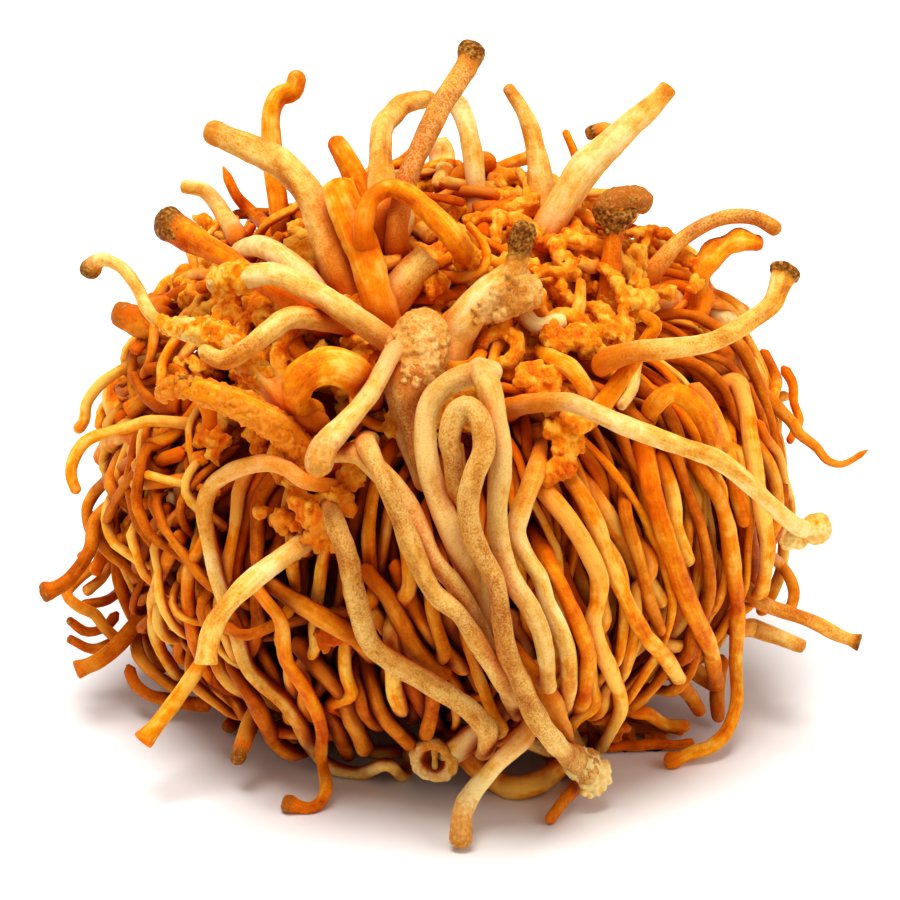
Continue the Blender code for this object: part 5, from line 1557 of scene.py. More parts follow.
@dataclass
class Crusts:
    """The crumbs on the stems."""

    dresser: Dresser
    strands: list
    seed: int = 19
    voxel: float = 0.22 * MM
    share: float = 0.45

    def grown(self, crust: Crust, strand: Strand, rng: np.random.Generator) -> Array:
        """Places the crumbs and lobes of one crust.

        Args:
            crust: The crust.
            strand: The strand that it has grown on.
            rng: Random numbers.

        Returns:
            Balls as rows of (x, y, z, radius).
        """
        tangents, side, up = frames(strand.points)
        run = along(strand.points)
        balls = []
        while len(balls) < crust.count:
            place = run[-1] - rng.uniform(*crust.span) * MM
            at = int(np.clip(np.searchsorted(run, place), 0, len(run) - 1))
            turn = rng.uniform(0, 2 * math.pi)
            out = side[at] * math.cos(turn) + up[at] * math.sin(turn)
            if crust.side and out @ (np.array(crust.side) @ VIEW_AXES[:2]) < rng.uniform(-0.2, 0.5):
                continue
            over = max(place - run[-1], 0)
            shrink = math.sqrt(max(1 - (over / strand.radii[at]) ** 2, 0.04))
            lift = strand.radii[at] * crust.proud * shrink * (rng.uniform(0, 1) ** 0.5 if over else 1)
            centre = strand.points[at] + tangents[at] * over + out * lift
            balls.append([*centre, rng.uniform(*crust.grains) * MM])
        for x, y, radius in crust.lobes:
            behind = np.searchsorted(run, run[-1] - sum(crust.span) / 2 * MM)
            near = float((strand.points[min(behind, len(run) - 1)] - MIDDLE) @ VIEW_NEAR) + crust.lift * MM
            balls.append([*to_world(np.array([(*in_view(x, y), near)]))[0], radius * MM])
        if crust.count and not crust.side:
            span = np.array([crust.span[1], max(crust.span[0], 0.4)])
            first, last = np.searchsorted(run, run[-1] - span * MM)
            core = slice(first, last + 1)
            radii = strand.radii[core, None] * (crust.proud + 0.03)
            balls += np.hstack([strand.points[core], radii]).tolist()
        return np.array(balls)

    def build(self) -> None:
        """Makes a piece of each crust."""
        rng = np.random.default_rng(self.seed)
        found = {stem.name: (stem, strand) for stem, strand in zip(STEMS, self.strands)}
        for number, crust in enumerate(CRUSTS):
            stem, strand = found[crust.stem]
            name = f"{crust.stem}_crust_{number + 1}"
            mesh = remeshed(name, *packed_balls(self.grown(crust, strand, rng)), self.voxel, self.share)
            mesh = finish_mesh(mesh, ((0.9, 0.12 * crust.rough), (0.5, 0.10 * crust.rough)), 80 + number,
                               crust.browning, tone=crust.tone)
            self.dresser.dress(name, mesh, crust.finish, ("bunch_heart",) if stem.fused else (stem.name,))


@dataclass
class Cup:
    """The thick stem's cut end under the front tuft: a crumbly rim round a hollow with a wall across it."""

    dresser: Dresser
    place: tuple = (434, 760)
    facing: tuple = (-0.22, -0.26, 0.94)
    radius: float = 3.0 * MM
    length: float = 3.4 * MM
    wall: float = 0.5 * MM
    wall_reach: float = 0.52
    wall_depth: float = 0.5 * MM
    rings: int = 9

    def build(self, stem: Strand) -> None:
        """Makes the cup where the stem's own line ends.

        Args:
            stem: The stem's strand.
        """
        facing = unit(np.array(self.facing) @ VIEW_AXES)
        near = float((stem.points[-1] - MIDDLE) @ VIEW_NEAR) + self.length
        middle = to_world(np.array([(*in_view(*self.place), near)]))[0]
        steps = np.linspace(-1, 0, self.rings)[:, None]
        swell = 0.86 + 0.14 * np.linspace(0, 1, self.rings)
        # shading scales the painted shade: little on the cup's body, much on the wall inside the hollow
        body = Strand(middle + facing * steps * self.length, self.radius * swell,
                      Ending(Tip.CUP, 1.08, 1.6, 0.15, 1.5, 0.09), Surface(0.11, 2.0, 0.02, 1.0, 0.08), 0.3,
                      91, 40, rooting=0.0, shading=0.35)
        across = unit(np.cross(facing, VIEW_RIGHT))
        steps = np.linspace(-self.wall_reach, self.wall_reach, self.rings)[:, None]
        wall = Strand(middle - facing * self.wall_depth + across * steps * self.radius,
                      np.full(self.rings, self.wall), Ending(), Surface(0.2, 1.0), 0.0, 92, 14, rooting=0.0,
                      shading=0.9)
        skin = Skin()
        for strand in (body, wall):
            add_strand(skin, strand, Crowding([strand]))
        self.dresser.dress("hollow_cut_rim", skin.mesh("hollow_cut_rim"), Finish.PALE, ("hollow_cut_stem",))


@dataclass
class Tangle:
    """Strands that press each other aside until they lie next to and over one another."""

    points: Array
    radii: Array
    owner: Array
    order: Array
    free: Array
    rounds: int = 20
    refresh: int = 4
    margin: float = 0.8 * MM
    gap: float = 0.10 * MM
    outermost: float = 0.985
    innermost: float = 0.74
    ease: float = 0.6
    longest_push: float = 0.7 * MM
    smoothing: float = 0.3

    def pairs(self) -> tuple[Array, Array]:
        """Finds neighbouring places that may touch.

        Returns:
            Their numbers, as firsts and seconds.
        """
        tree = KDTree(len(self.points))
        for index, point in enumerate(self.points):
            tree.insert(point, index)
        tree.balance()
        widest = self.radii.max()
        first, second = [], []
        for index in np.flatnonzero(self.free > 0):
            reach = self.radii[index] + widest + self.margin
            for _, other, _ in tree.find_range(self.points[index], reach):
                if other <= index and self.free[other] > 0:
                    continue
                if self.owner[other] == self.owner[index] and abs(self.order[other] - self.order[index]) < 4:
                    continue
                first.append(index)
                second.append(other)
        return np.array(first), np.array(second)

    def settle(self) -> None:
        """Pushes the strands apart, smooths them and keeps them in the heap and above the floor."""
        owner = self.owner
        inner = (owner[1:-1] == owner[:-2]) & (owner[1:-1] == owner[2:]) & (self.free[1:-1] > 0)
        inner = np.flatnonzero(inner) + 1
        for step in range(self.rounds):
            if step % self.refresh == 0:
                first, second = self.pairs()
            across = self.points[second] - self.points[first]
            apart = np.maximum(np.linalg.norm(across, axis=1), 1e-9)
            overlap = self.radii[first] + self.radii[second] + self.gap - apart
            hit = overlap > 0
            push = across[hit] / apart[hit, None] * overlap[hit, None]
            total = self.free[first[hit]] + self.free[second[hit]]
            move = np.zeros_like(self.points)
            np.add.at(move, first[hit], -push * (self.free[first[hit]] / total)[:, None] * self.ease)
            np.add.at(move, second[hit], push * (self.free[second[hit]] / total)[:, None] * self.ease)
            longest = np.linalg.norm(move, axis=1, keepdims=True)
            move *= np.minimum(1, self.longest_push / np.maximum(longest, 1e-9))
            self.points += move
            middle = (self.points[inner - 1] + self.points[inner + 1]) / 2
            self.points[inner] += self.smoothing * (middle - self.points[inner])
            self.hold()

    def hold(self) -> None:
        """Keeps free places in the heap's layers and above the floor."""
        loose = self.free > 0
        depth = shell(self.points)
        wanted = np.clip(depth, self.innermost, self.outermost)
        moved = MIDDLE + (self.points - MIDDLE) * (wanted / np.maximum(depth, 1e-9))[:, None]
        moved[:, 2] = np.maximum(moved[:, 2], self.radii + GAP)
        self.points[loose] = moved[loose]


def spread_over_heap(count: int, lowest: float, highest: float, rng: np.random.Generator) -> Array:
    """Even places on the heap's outer face between two heights, each shaken a little.

    Args:
        count: How many places the whole heap would take.
        lowest: The lowest height in metres.
        highest: The highest height.
        rng: Random numbers.

    Returns:
        The places, one a row.
    """
    step = np.arange(count)
    height = 1 - 2 * (step + 0.5) / count
    turn = step * math.pi * (3 - math.sqrt(5))
    flat = np.sqrt(1 - height ** 2)
    ways = np.column_stack([flat * np.cos(turn), flat * np.sin(turn), height])
    ways = unit(ways + rng.normal(0, 0.6 / math.sqrt(count), ways.shape))
    points = MIDDLE + ways * HEAP_HALVES
    return points[(points[:, 2] > lowest) & (points[:, 2] < highest)]


def wander(start: Array, count: int, step: float, heading: float, curl: tuple, pole: tuple,
           rng: np.random.Generator) -> Array:
    """A curled line over the heap's outer face.

    Args:
        start: Where it starts.
        count: How many steps it has.
        step: Their length.
        heading: Its first direction, in radians.
        curl: How far it turns at each step, and how much that varies.
        pole: What headings are measured round.
        rng: Random numbers.

    Returns:
        The places that it passes.
    """
    point = start
    points = []
    for _ in range(count):
        normal = unit((point - MIDDLE) / HEAP_HALVES ** 2)
        east = unit(np.cross(pole, normal))
        heading += curl[0] + rng.normal(0, curl[1])
        point = point + (east * math.cos(heading) + np.cross(normal, east) * math.sin(heading)) * step
        point = MIDDLE + (point - MIDDLE) / shell(point)
        points.append(point)
    return np.array(points)


@dataclass(frozen=True)
class Layer:
    """One layer of hanging stems."""

    level: float  # on the heap's shell
    spacing: float  # between its stems
    swing: float  # how far they all stray to one side, in radians
    shortest: float
    sides: int


class Comb:
    """Stems of one layer that already hang, so that the next one keeps its distance."""

    def __init__(self, spacing: float) -> None:
        """Starts empty, in cells as wide as the spacing."""
        self.spacing = spacing
        self.cells: dict[tuple, list] = {}

    def crowded(self, point: Array, limit: float) -> bool:
        """Whether a stem hangs near.

        Args:
            point: The place.
            limit: How near counts.

        Returns:
            True if one is nearer than the limit.
        """
        home = np.floor(point / self.spacing).astype(int)
        for step in np.ndindex(3, 3, 3):
            for other in self.cells.get(tuple(home + np.array(step) - 1), ()):
                if np.dot(other - point, other - point) < limit * limit:
                    return True
        return False

    def keep(self, line: Array) -> None:
        """Adds a stem."""
        for point in line:
            self.cells.setdefault(tuple(np.floor(point / self.spacing).astype(int)), []).append(point)


@dataclass(frozen=True)
class Growth:
    """Short, curly stems that grow all over a part of the heap."""

    seeds: int  # how many the whole heap would take
    lowest: float  # where they start, in metres
    highest: float
    steps: tuple  # the fewest, and one more than the most
    bends: tuple  # how far they turn at each step, in radians
    wobble: float  # how much that varies
    levels: tuple  # on the heap's shell
    sides: int

    def starts(self, rng: np.random.Generator) -> Array:
        """Where they start, one a row."""
        return spread_over_heap(self.seeds, self.lowest, self.highest, rng)


@dataclass
class Curtain:
    """The thin stems that hang round the heap in layers, the ringlets on its left and the crown's fingers.

    The ringlets have the side left of ringlet_edge and in front of ringlet_back, where no hanging stem goes.
    Skins are coarser at the back, where less of them shows.
    """

    dresser: Dresser
    fixed: list
    hub: tuple = (470, 392)
    step: float = 1.6 * MM
    ring_step: float = 0.95 * MM
    layers: tuple = (Layer(0.975, 3.8 * MM, 0.02, 26 * MM, 11), Layer(0.928, 3.3 * MM, -0.14, 20 * MM, 9),
                     Layer(0.875, 3.2 * MM, 0.16, 18 * MM, 6))
    seeds: int = 2600
    seed_heights: tuple = (6 * MM, 70 * MM)
    start_gap: float = 0.95  # shares of a layer's spacing that stems keep free
    side_gap: float = 0.52
    hub_pull: float = 1.8
    hub_reach: float = 15.0 * MM
    outward: float = 0.12
    stray_kept: float = 0.85
    stray_size: float = 0.07
    waves: tuple = ((0.40, 15 * MM, 77), (0.32, 6 * MM, 78))
    right_thickness: float = 0.82
    thinner_from: float = -4.0 * MM
    thinner_over: float = 16.0 * MM
    top: float = 64.0 * MM
    top_slope: float = 0.22
    longest: float = 70.0 * MM
    end_sink: float = 0.13
    end_reach: float = 7.0 * MM
    finger: Growth = Growth(620, 50 * MM, 90 * MM, (7, 16), (0.08, 0.42), 0.1, (0.93, 0.97), 14)
    finger_rise: float = 0.12
    finger_tips: tuple = (Tip.ROUND, Tip.KNOB, Tip.BROKEN, Tip.HOLLOW)
    finger_surface: Surface = Surface(0.20, 2.4, 0.10, 1.0, 0.16)
    tips: tuple = (Tip.ROUND, Tip.ROUND, Tip.KNOB)
    surface: Surface = Surface(0.12, 3.0, 0.08, 1.0, 0.10)
    ringlet: Growth = Growth(1400, 10 * MM, 60 * MM, (9, 20), (0.0, 0.13), 0.26, (0.83, 0.95), 8)
    ringlet_rise: float = 0.07
    ringlet_edge: float = -32.0 * MM
    ringlet_back: float = 26.0 * MM
    ringlet_overlap: float = 3.0 * MM
    ringlet_room_back: float = 22.0 * MM
    ringlet_room_low: float = 14.0 * MM
    radii_mm: tuple = (0.72, 1.24)
    ringlet_radii_mm: tuple = (0.58, 0.98)
    lowest: float = 2.5 * MM
    hold_step: float = 1.3 * MM
    coarse_from: float = 8.0 * MM
    coarsening: float = 1.45
    seed: int = 11
    strands: list = field(default_factory=list)

    def flow(self, points: Array, turns: Array) -> Array:
        """The way that stems run at these places: away from the hub, then down.

        Args:
            points: Places near the heap's face.
            turns: How far each stem strays to the side, in radians.

        Returns:
            A direction for each place.
        """
        hub = to_world(view_rows((self.hub,)))[0]
        normal = unit((points - MIDDLE) / HEAP_HALVES ** 2)
        away = points - hub
        distance = np.linalg.norm(away, axis=1, keepdims=True)
        pull = away / distance * (self.outward + self.hub_pull * np.exp(-distance / self.hub_reach))
        pull = pull + np.array([0, 0, -1.0])
        way = unit(pull - normal * np.sum(pull * normal, axis=1, keepdims=True))
        across = np.cross(normal, way)
        return way * np.cos(turns)[:, None] + across * np.sin(turns)[:, None]

    def beyond(self, point: Array) -> bool:
        """Whether a place belongs to the crown or to the ringlets on the left."""
        left = point[0] < self.ringlet_edge - self.ringlet_overlap and point[1] < self.ringlet_room_back
        return point[2] > self.top + self.top_slope * point[0] or (left and point[2] > self.ringlet_room_low)

    def fineness(self, point: Array) -> float:
        """How thick and far apart stems are: 1 on the left, and less on the right."""
        thinner = eased((point[0] - self.thinner_from) / self.thinner_over)
        return float(1 - (1 - self.right_thickness) * thinner)

    def walk(self, start: Array, way: int, swing: float, comb: Comb, rng: np.random.Generator) -> Array:
        """Steps along the flow until another stem, the crown or the floor is near.

        Args:
            start: Where the stem starts.
            way: 1 for forwards and -1 for backwards.
            swing: How far it strays to one side, in radians.
            comb: The layer's other stems.
            rng: Random numbers.

        Returns:
            The places that it passes.
        """
        points = [start]
        stray = 0.0
        for _ in range(round(self.longest / self.step)):
            here = points[-1][None]
            stray = self.stray_kept * stray + rng.normal(0, self.stray_size)
            wave = swing + stray
            for size, length, seed in self.waves:
                wave = wave + size * noise(here, length, seed)
            ahead = here + way * self.step * self.flow(here, wave)
            ahead = (MIDDLE + (ahead - MIDDLE) / shell(ahead)[:, None])[0]
            limit = comb.spacing * self.side_gap * self.fineness(ahead)
            if ahead[2] < self.lowest or self.beyond(ahead) or comb.crowded(ahead, limit):
                break
            points.append(ahead)
        return np.array(points)

    def hanging(self, rng: np.random.Generator) -> list[tuple[Array, Array, int]]:
        """Lays the hanging stems, layer by layer.

        Args:
            rng: Random numbers.

        Returns:
            Each one's centre line, radii and the sides of its skin.
        """
        made = []
        for layer in self.layers:
            comb = Comb(layer.spacing)
            starts = spread_over_heap(self.seeds, *self.seed_heights, rng)
            for start in rng.permutation(starts):
                limit = layer.spacing * self.start_gap * self.fineness(start)
                if self.beyond(start) or comb.crowded(start, limit):
                    continue
                forward = self.walk(start, 1, layer.swing, comb, rng)
                backward = self.walk(start, -1, layer.swing, comb, rng)
                line = np.vstack([backward[:0:-1], forward])
                if len(line) * self.step < layer.shortest:
                    continue
                comb.keep(line)
                run = np.arange(len(line)) * self.step
                ends = np.minimum(run, run[-1] - run)
                sink = self.end_sink * np.exp(-(ends / self.end_reach) ** 2)
                uneven = 0.012 * noise(line, 8 * MM, 40 + len(made) % 7)
                line = MIDDLE + (line - MIDDLE) * ((layer.level - sink + uneven) / shell(line))[:, None]
                radius = rng.uniform(*self.radii_mm) * MM * (1 + 0.20 * noise(line, 7 * MM, len(made)))
                radius = radius * self.fineness(line[len(line) // 2])
                made.append((line, radius, layer.sides))
            LOG.info("layer at %.3f: %d stems so far", layer.level, len(made))
        return made

    def ringlets(self, rng: np.random.Generator) -> list[tuple[Array, Array, int]]:
        """Lays short, curly stems that tangle on the heap's left side.

        Args:
            rng: Random numbers.

        Returns:
            Each one's centre line, radii and the sides of its skin.
        """
        made = []
        for start in self.ringlet.starts(rng):
            if start[0] > self.ringlet_edge or start[1] > self.ringlet_back:
                continue
            heading = -math.pi / 2 + rng.normal(0, 0.4)
            bend = rng.choice([-1, 1]) * rng.uniform(*self.ringlet.bends)
            radius = rng.uniform(*self.ringlet_radii_mm) * MM
            count = int(rng.integers(*self.ringlet.steps))
            outward = rng.uniform(-0.02, 0.05)
            base = rng.uniform(*self.ringlet.levels)
            curl = (bend, self.ringlet.wobble)
            line = wander(start, count, self.step, heading, curl, (0.0, 0.0, 1.0), rng)
            arch = np.sin(math.pi * np.arange(count) / (count - 1))
            line = MIDDLE + (line - MIDDLE) * (base + (0.06 + outward) * arch)[:, None]
            made.append((line, np.full(count, radius), self.ringlet.sides))
        return made

    def fingers(self, rng: np.random.Generator) -> list[tuple[Array, Array, int]]:
        """Lays stubby stems that curl on the crown.

        Args:
            rng: Random numbers.

        Returns:
            Each one's centre line, radii and the sides of its skin.
        """
        made = []
        for start in self.finger.starts(rng):
            if not self.beyond(start - np.array([0, 0, 4 * MM])):
                continue
            heading = rng.uniform(0, 2 * math.pi)
            bend = rng.choice([-1, 1]) * rng.uniform(*self.finger.bends)
            thick = (0.7 + 0.75 * rng.random() ** 2) * MM
            count = int(rng.integers(*self.finger.steps))
            level = rng.uniform(*self.finger.levels)
            curl = (bend, self.finger.wobble)
            line = wander(start, count, self.step, heading, curl, (0.1, 0.2, 1.0), rng)
            taper = np.linspace(1.1, rng.uniform(0.7, 1.1), count)
            made.append((MIDDLE + (line - MIDDLE) * level, thick * taper, self.finger.sides))
        return made

    def trace(self) -> None:
        """Lays the stems and lets them settle."""
        rng = np.random.default_rng(self.seed)
        lines = self.hanging(rng)
        first_ringlet = len(lines)
        lines += self.ringlets(rng)
        first_finger = len(lines)
        lines += self.fingers(rng)
        rows = [(line, radii, 1.0) for line, radii, _ in lines]
        for strand in self.fixed:
            run = along(strand.points)
            stops = np.linspace(0, run[-1], max(4, round(run[-1] / self.hold_step)))
            rows.append((at_stops(strand.points, run, stops), np.interp(stops, run, strand.radii), 0.0))
        points = np.vstack([row[0] for row in rows])
        radii = np.concatenate([row[1] for row in rows])
        owner = np.concatenate([np.full(len(row[0]), i) for i, row in enumerate(rows)])
        order = np.concatenate([np.arange(len(row[0])) for row in rows])
        free = np.concatenate([np.full(len(row[0]), row[2]) for row in rows])
        tangle = Tangle(points, radii, owner, order, free)
        tangle.settle()
        LOG.info("settled %d strands, %d places", len(rows), len(points))
        for index, (_, line_radii, sides) in enumerate(lines):
            settled = tangle.points[owner == index]
            share = np.linspace(0, 1, len(settled))[:, None]
            finger = index >= first_finger
            if finger:
                rise = rng.uniform(0.015, self.finger_rise) * share ** 1.3
                settled = MIDDLE + (settled - MIDDLE) * (1 + rise)
            elif index >= first_ringlet:
                rise = rng.uniform(0, self.ringlet_rise) * np.sin(math.pi * share)
                settled = MIDDLE + (settled - MIDDLE) * (1 + rise)
            rows_here = smooth_line(np.column_stack([settled, line_radii]), 5)
            run = along(rows_here[:, :3])
            behind = settled[:, 1].mean() > self.coarse_from
            ring_step = self.ring_step * (self.coarsening if behind or sides < 9 else 1)
            sides = max(6, sides - 3) if behind else sides
            steps = np.linspace(0, run[-1], max(6, round(run[-1] / ring_step)))
            made = at_stops(rows_here, run, steps)
            tips = self.finger_tips if finger else self.tips
            ending = Ending(tips[int(rng.integers(len(tips)))], 1.0, 1.0, rng.uniform(0, 0.5), 1.6, 0.10)
            surface = self.finger_surface if finger else self.surface
            self.strands.append(Strand(made[:, :3], made[:, 3], ending, surface, rng.uniform(-1, 1),
                                       CURTAIN_NUMBER + index, sides, not finger))

    def build(self, crowding: Crowding) -> None:
        """Joins the strands into pieces by side of the heap and finish.

        Args:
            crowding: Where the other stems are.
        """
        skins: dict[tuple[str, Finish], Skin] = {}
        for strand in self.strands:
            middle = strand.points[len(strand.points) // 2] - MIDDLE
            side = "front" if middle[1] < 0 else "back"
            half = "left" if middle[0] < 0 else "right"
            shift = 0.05 - middle[0] / (160 * MM) - middle[2] / (70 * MM)
            finish = Finish.AMBER if strand.tone < shift - 0.4 else Finish.ORANGE
            if strand.tone > 0.9 and strand.both_ends and middle[1] > 0:
                finish = Finish.PALE
            add_strand(skins.setdefault((f"{side}_{half}_curtain", finish), Skin()), strand, crowding)
        for (name, finish), skin in skins.items():
            full = f"{name}_{finish.name.lower()}"
            self.dresser.dress(full, skin.mesh(full), finish, ("bunch_heart",))


# Crumbs away from the crown: view place, lift over the heap's face in mm, and reach in view steps.
CRUMB_SPOTS = (
    (322, 540, 4.5, 12), (338, 498, 4.5, 14), (344, 620, -1.0, 10), (282, 520, 3.0, 12), (306, 500, 5.0, 14),
    (318, 520, 5.0, 12), (350, 476, 2.5, 12), (296, 548, 2.5, 10), (300, 478, 3.5, 10), (328, 636, 1.0, 7),
    (566, 436, 3.0, 14), (558, 466, 2.5, 10), (540, 392, 1.5, 12), (560, 398, 1.0, 14), (574, 418, 2.5, 10),
    (548, 476, 2.0, 8), (622, 742, -1.0, 14), (650, 748, -1.0, 12), (604, 756, -1.0, 10), (528, 378, 2.0, 9),
    (552, 372, 2.5, 9), (372, 300, 2.0, 20), (352, 304, 2.0, 14), (364, 358, 2.0, 9), (436, 286, 2.0, 10),
    (530, 296, 4.0, 13), (400, 424, -1.0, 12), (180, 290, 0.0, 20), (250, 310, 0.0, 24), (214, 320, 0.0, 18),
    (300, 290, 0.0, 20), (262, 430, -1.0, 18), (210, 440, -0.5, 18), (150, 440, -0.5, 18),
    (588, 338, 0.5, 16), (560, 340, 0.5, 14), (640, 300, 0.5, 20), (620, 330, 0.5, 16), (216, 226, 0.0, 14),
)


@dataclass
class Crown:
    """The crumbled mass on top of the heap and the heart inside it."""

    dresser: Dresser
    cluster_seeds: int = 2300
    edge_height: float = 61.0 * MM
    edge_slope: float = 0.20
    crumb_radii_mm: tuple = (1.0, 2.2)
    crumb_levels: tuple = (0.87, 0.965)
    rim: float = 9.0 * MM
    spot_radii_mm: tuple = (0.6, 1.2)
    spot_spread: float = 0.45
    lumps: int = 11
    lumps_per_mm: float = 7.0
    lump_reach: tuple = (0.8, 1.2)
    lump_radii: tuple = (0.2, 0.42)
    chain_share: float = 0.2
    chain_step: float = 0.65 * MM
    chain_steps: tuple = (10, 22)
    chain_radii_mm: tuple = (0.65, 1.2)
    chain_levels: tuple = (0.93, 0.985)
    chain_arch: float = 0.035
    cap_level: float = 0.84
    voxel: float = 0.36 * MM
    share: float = 0.42
    heart_level: float = 0.79
    seed: int = 5

    def edge(self, points: Array) -> Array:
        """How high over the crown's uneven lower edge each place is, in metres."""
        uneven = noise(points, 9 * MM, 3) * 4 * MM
        return points[..., 2] - (self.edge_height + self.edge_slope * points[..., 0] + uneven)

    def cluster(self, centre: Array, size: float, rng: np.random.Generator) -> list[Array]:
        """A lump covered with smaller lumps, as balls of (x, y, z, radius).

        Args:
            centre: The lump's middle.
            size: Its radius.
            rng: Random numbers.

        Returns:
            The balls.
        """
        balls = [np.array([*centre, size])]
        for _ in range(int(self.lumps + size / MM * self.lumps_per_mm)):
            way = unit(rng.normal(0, 1, 3)) * size * rng.uniform(*self.lump_reach)
            small = rng.uniform(*self.lump_radii) * size
            balls.append(np.array([*(centre + way), max(small, self.voxel)]))
        return balls

    def chain(self, start: Array, rng: np.random.Generator) -> list[Array]:
        """A short stubby curl that lies on the crown.

        Args:
            start: Where it starts.
            rng: Random numbers.

        Returns:
            Balls as rows of (x, y, z, radius).
        """
        heading = rng.uniform(0, 2 * math.pi)
        bend = rng.normal(0, 0.16)
        size = rng.uniform(*self.chain_radii_mm) * MM
        count = int(rng.integers(*self.chain_steps))
        base = rng.uniform(*self.chain_levels)
        line = wander(start, count, self.chain_step, heading, (bend, 0.06), (-0.2, -0.1, -1.0), rng)
        arch = np.sin(math.pi * np.arange(count) / (count - 1))
        where = MIDDLE + (line - MIDDLE) * (base + self.chain_arch * arch)[:, None]
        return list(np.column_stack([where, size * (0.85 + 0.25 * arch)]))

    def mass(self, rng: np.random.Generator) -> bpy.types.Mesh:
        """Clusters of lumps and stubby curls, grown together over the heap's top.

        Args:
            rng: Random numbers.

        Returns:
            Their mesh.
        """
        balls = []
        for start in spread_over_heap(self.cluster_seeds, 40 * MM, 90 * MM, rng):
            over = float(self.edge(start))
            if over < 0:
                continue
            inner = float(np.clip(over / self.rim, 0, 1))
            size = rng.uniform(*self.crumb_radii_mm) * MM * (0.7 + 0.3 * inner)
            level = rng.uniform(*self.crumb_levels) - 0.03 * (1 - inner) - 0.5 * size / HEAP_HALF_HEIGHT
            if rng.random() < self.chain_share:
                balls += self.chain(start, rng)
            else:
                balls += self.cluster(MIDDLE + (start - MIDDLE) * level, size, rng)
        for x, y, lift, reach in CRUMB_SPOTS:
            for _ in range(int(6 + reach / 3)):
                offset = rng.normal(0, self.spot_spread, 2) * reach
                centre = to_world(view_rows(((x + offset[0], y + offset[1], lift),)))[0]
                balls += self.cluster(centre, rng.uniform(*self.spot_radii_mm) * MM, rng)
        verts, tris = packed_balls(np.array(balls))
        cap, cap_faces = ball(5)
        top = MIDDLE + cap * HEAP_HALVES * self.cap_level
        top[:, 2] = np.maximum(top[:, 2], self.edge_height - 2 * MM)
        LOG.info("crown of %d balls", len(balls))
        faces = np.vstack([tris, cap_faces + len(verts)])
        return remeshed("crown_mass", np.vstack([verts, top]), faces, self.voxel, self.share)

    def heart(self) -> bpy.types.Mesh:
        """The heap's inside, cut off flat underneath.

        Returns:
            Its mesh.
        """
        round_one, faces = ball(6)
        verts = MIDDLE + round_one * HEAP_HALVES * self.heart_level
        verts[:, 2] = np.maximum(verts[:, 2], 0.2 * MM)
        return remeshed("heart_inside", verts, faces, 1.2 * MM, 0.25)

    def build(self) -> None:
        """Makes the crown's mass and the heart."""
        rng = np.random.default_rng(self.seed)
        # the crumbs get painted shade deep in the crown and low on the heap
        mass = finish_mesh(self.mass(rng), ((1.2, 0.34), (0.7, 0.26)), 31, 0.0, CROWN_DEEP_FROM, LOW_CRUMBS)
        self.dresser.dress("crown_mass", mass, Finish.CROWN, ("bunch_heart",))
        # the heart lies deep in the heap, so it is painted in deep shade
        heart = finish_mesh(self.heart(), ((6.0, 1.6), (2.6, 0.7)), 61)
        self.dresser.dress("heart_inside", heart, Finish.CROWN, ("bunch_heart",))


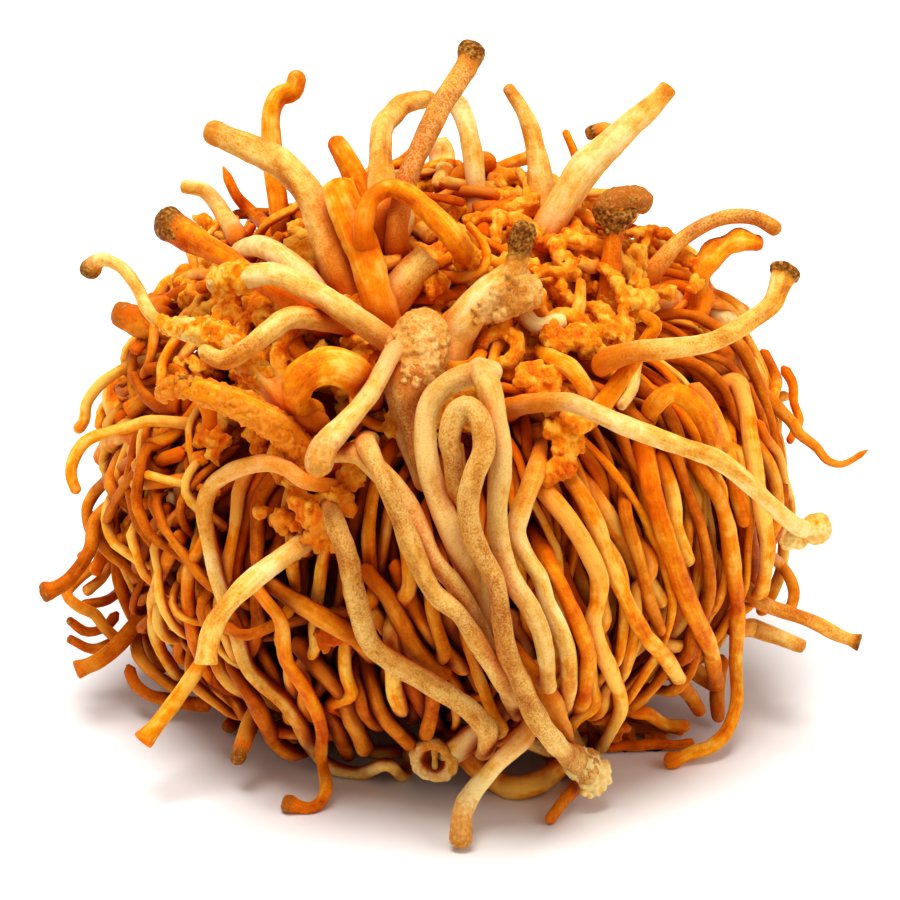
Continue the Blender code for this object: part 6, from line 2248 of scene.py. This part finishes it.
@dataclass
class Studio:
    """Camera, floor and soft light."""

    sensor: float = 36.0
    floor_half: float = 4.0
    key_strength: float = 2.9
    key_softness: float = math.radians(35)
    key_way: tuple = (0.08, 0.14, -0.98)
    fill_place: tuple = (0.85, -0.45, 0.55)
    fill_size: float = 0.6
    fill_power: float = 2.0
    sky: float = 0.38

    def camera(self) -> None:
        """Puts the camera where the routes are read from."""
        data = bpy.data.cameras.new("camera")
        data.sensor_width = self.sensor
        data.lens = self.sensor * VIEW_DISTANCE / (VIEW_WIDTH * VIEW_STEP)
        data.shift_y = (VIEW_MIDDLE_Y - VIEW_WIDTH / 2) / VIEW_WIDTH
        data.clip_start = 0.01
        bpy.context.scene.camera = placed("camera", data, MIDDLE + VIEW_NEAR * VIEW_DISTANCE, -VIEW_NEAR)

    def lights(self) -> None:
        """Sets a soft sun above and a large square light at the right."""
        key = bpy.data.lights.new("key_light", "SUN")
        key.energy = self.key_strength
        key.angle = self.key_softness
        placed("key_light", key, (0, 0, 0), self.key_way)
        side = bpy.data.lights.new("fill_light", "AREA")
        side.shape = "SQUARE"
        side.size = self.fill_size
        side.energy = self.fill_power
        placed("fill_light", side, self.fill_place, MIDDLE - np.array(self.fill_place))

    def floor(self) -> None:
        """A plain pale floor, painted matt: nothing on it draws the eye."""
        half = self.floor_half
        mesh = bpy.data.meshes.new("floor")
        corners = [(-half, -half, 0), (half, -half, 0), (half, half, 0), (-half, half, 0)]
        mesh.from_pydata(corners, [], [(0, 1, 2, 3)])
        made = bpy.data.materials.new("matt_white_paint")
        made.use_nodes = True
        tree = made.node_tree
        place = node(tree, "TexCoord", {}, "Object")
        cloud = node(tree, "TexNoise", {"Vector": place, "Scale": 1 / 0.4, "Detail": 1.0})
        ramp = node(tree, "ValToRGB", {0: cloud}, stops=((0.0, "F4F4F3"), (1.0, "F8F8F7")))
        fill(tree.nodes["Principled BSDF"], {"Base Color": ramp, "Roughness": 0.9})
        mesh.materials.append(made)
        placed("floor", mesh)

    def build(self) -> None:
        """Sets the scene up."""
        self.camera()
        self.floor()
        self.lights()
        world = bpy.data.worlds.new("sky")
        world.use_nodes = True
        fill(world.node_tree.nodes["Background"], {"Color": (1, 1, 1, 1), "Strength": self.sky})
        bpy.context.scene.world = world
        bpy.context.scene.view_settings.view_transform = "Standard"
        bpy.context.scene.view_settings.look = "Medium High Contrast"


def main() -> None:
    """Builds the bunch's looks, sub-assembly by sub-assembly."""
    logging.basicConfig(level=logging.INFO, format="%(message)s")
    Studio().build()
    dresser = Dresser()
    lay = Lay()
    stems = MainStems(dresser, lay)
    stems.trace()
    loose = LooseStems(dresser, lay)
    loose.trace()
    curtain = Curtain(dresser, stems.strands + loose.strands)
    curtain.trace()
    crowding = Crowding(stems.strands + loose.strands + curtain.strands)
    for group in (stems, loose, curtain):
        group.build(crowding)
    Crown(dresser).build()
    Crusts(dresser, stems.strands).build()
    names = [stem.name for stem in STEMS]
    Cup(dresser).build(stems.strands[names.index("hollow_cut_stem")])


if __name__ == "__main__":
    main()
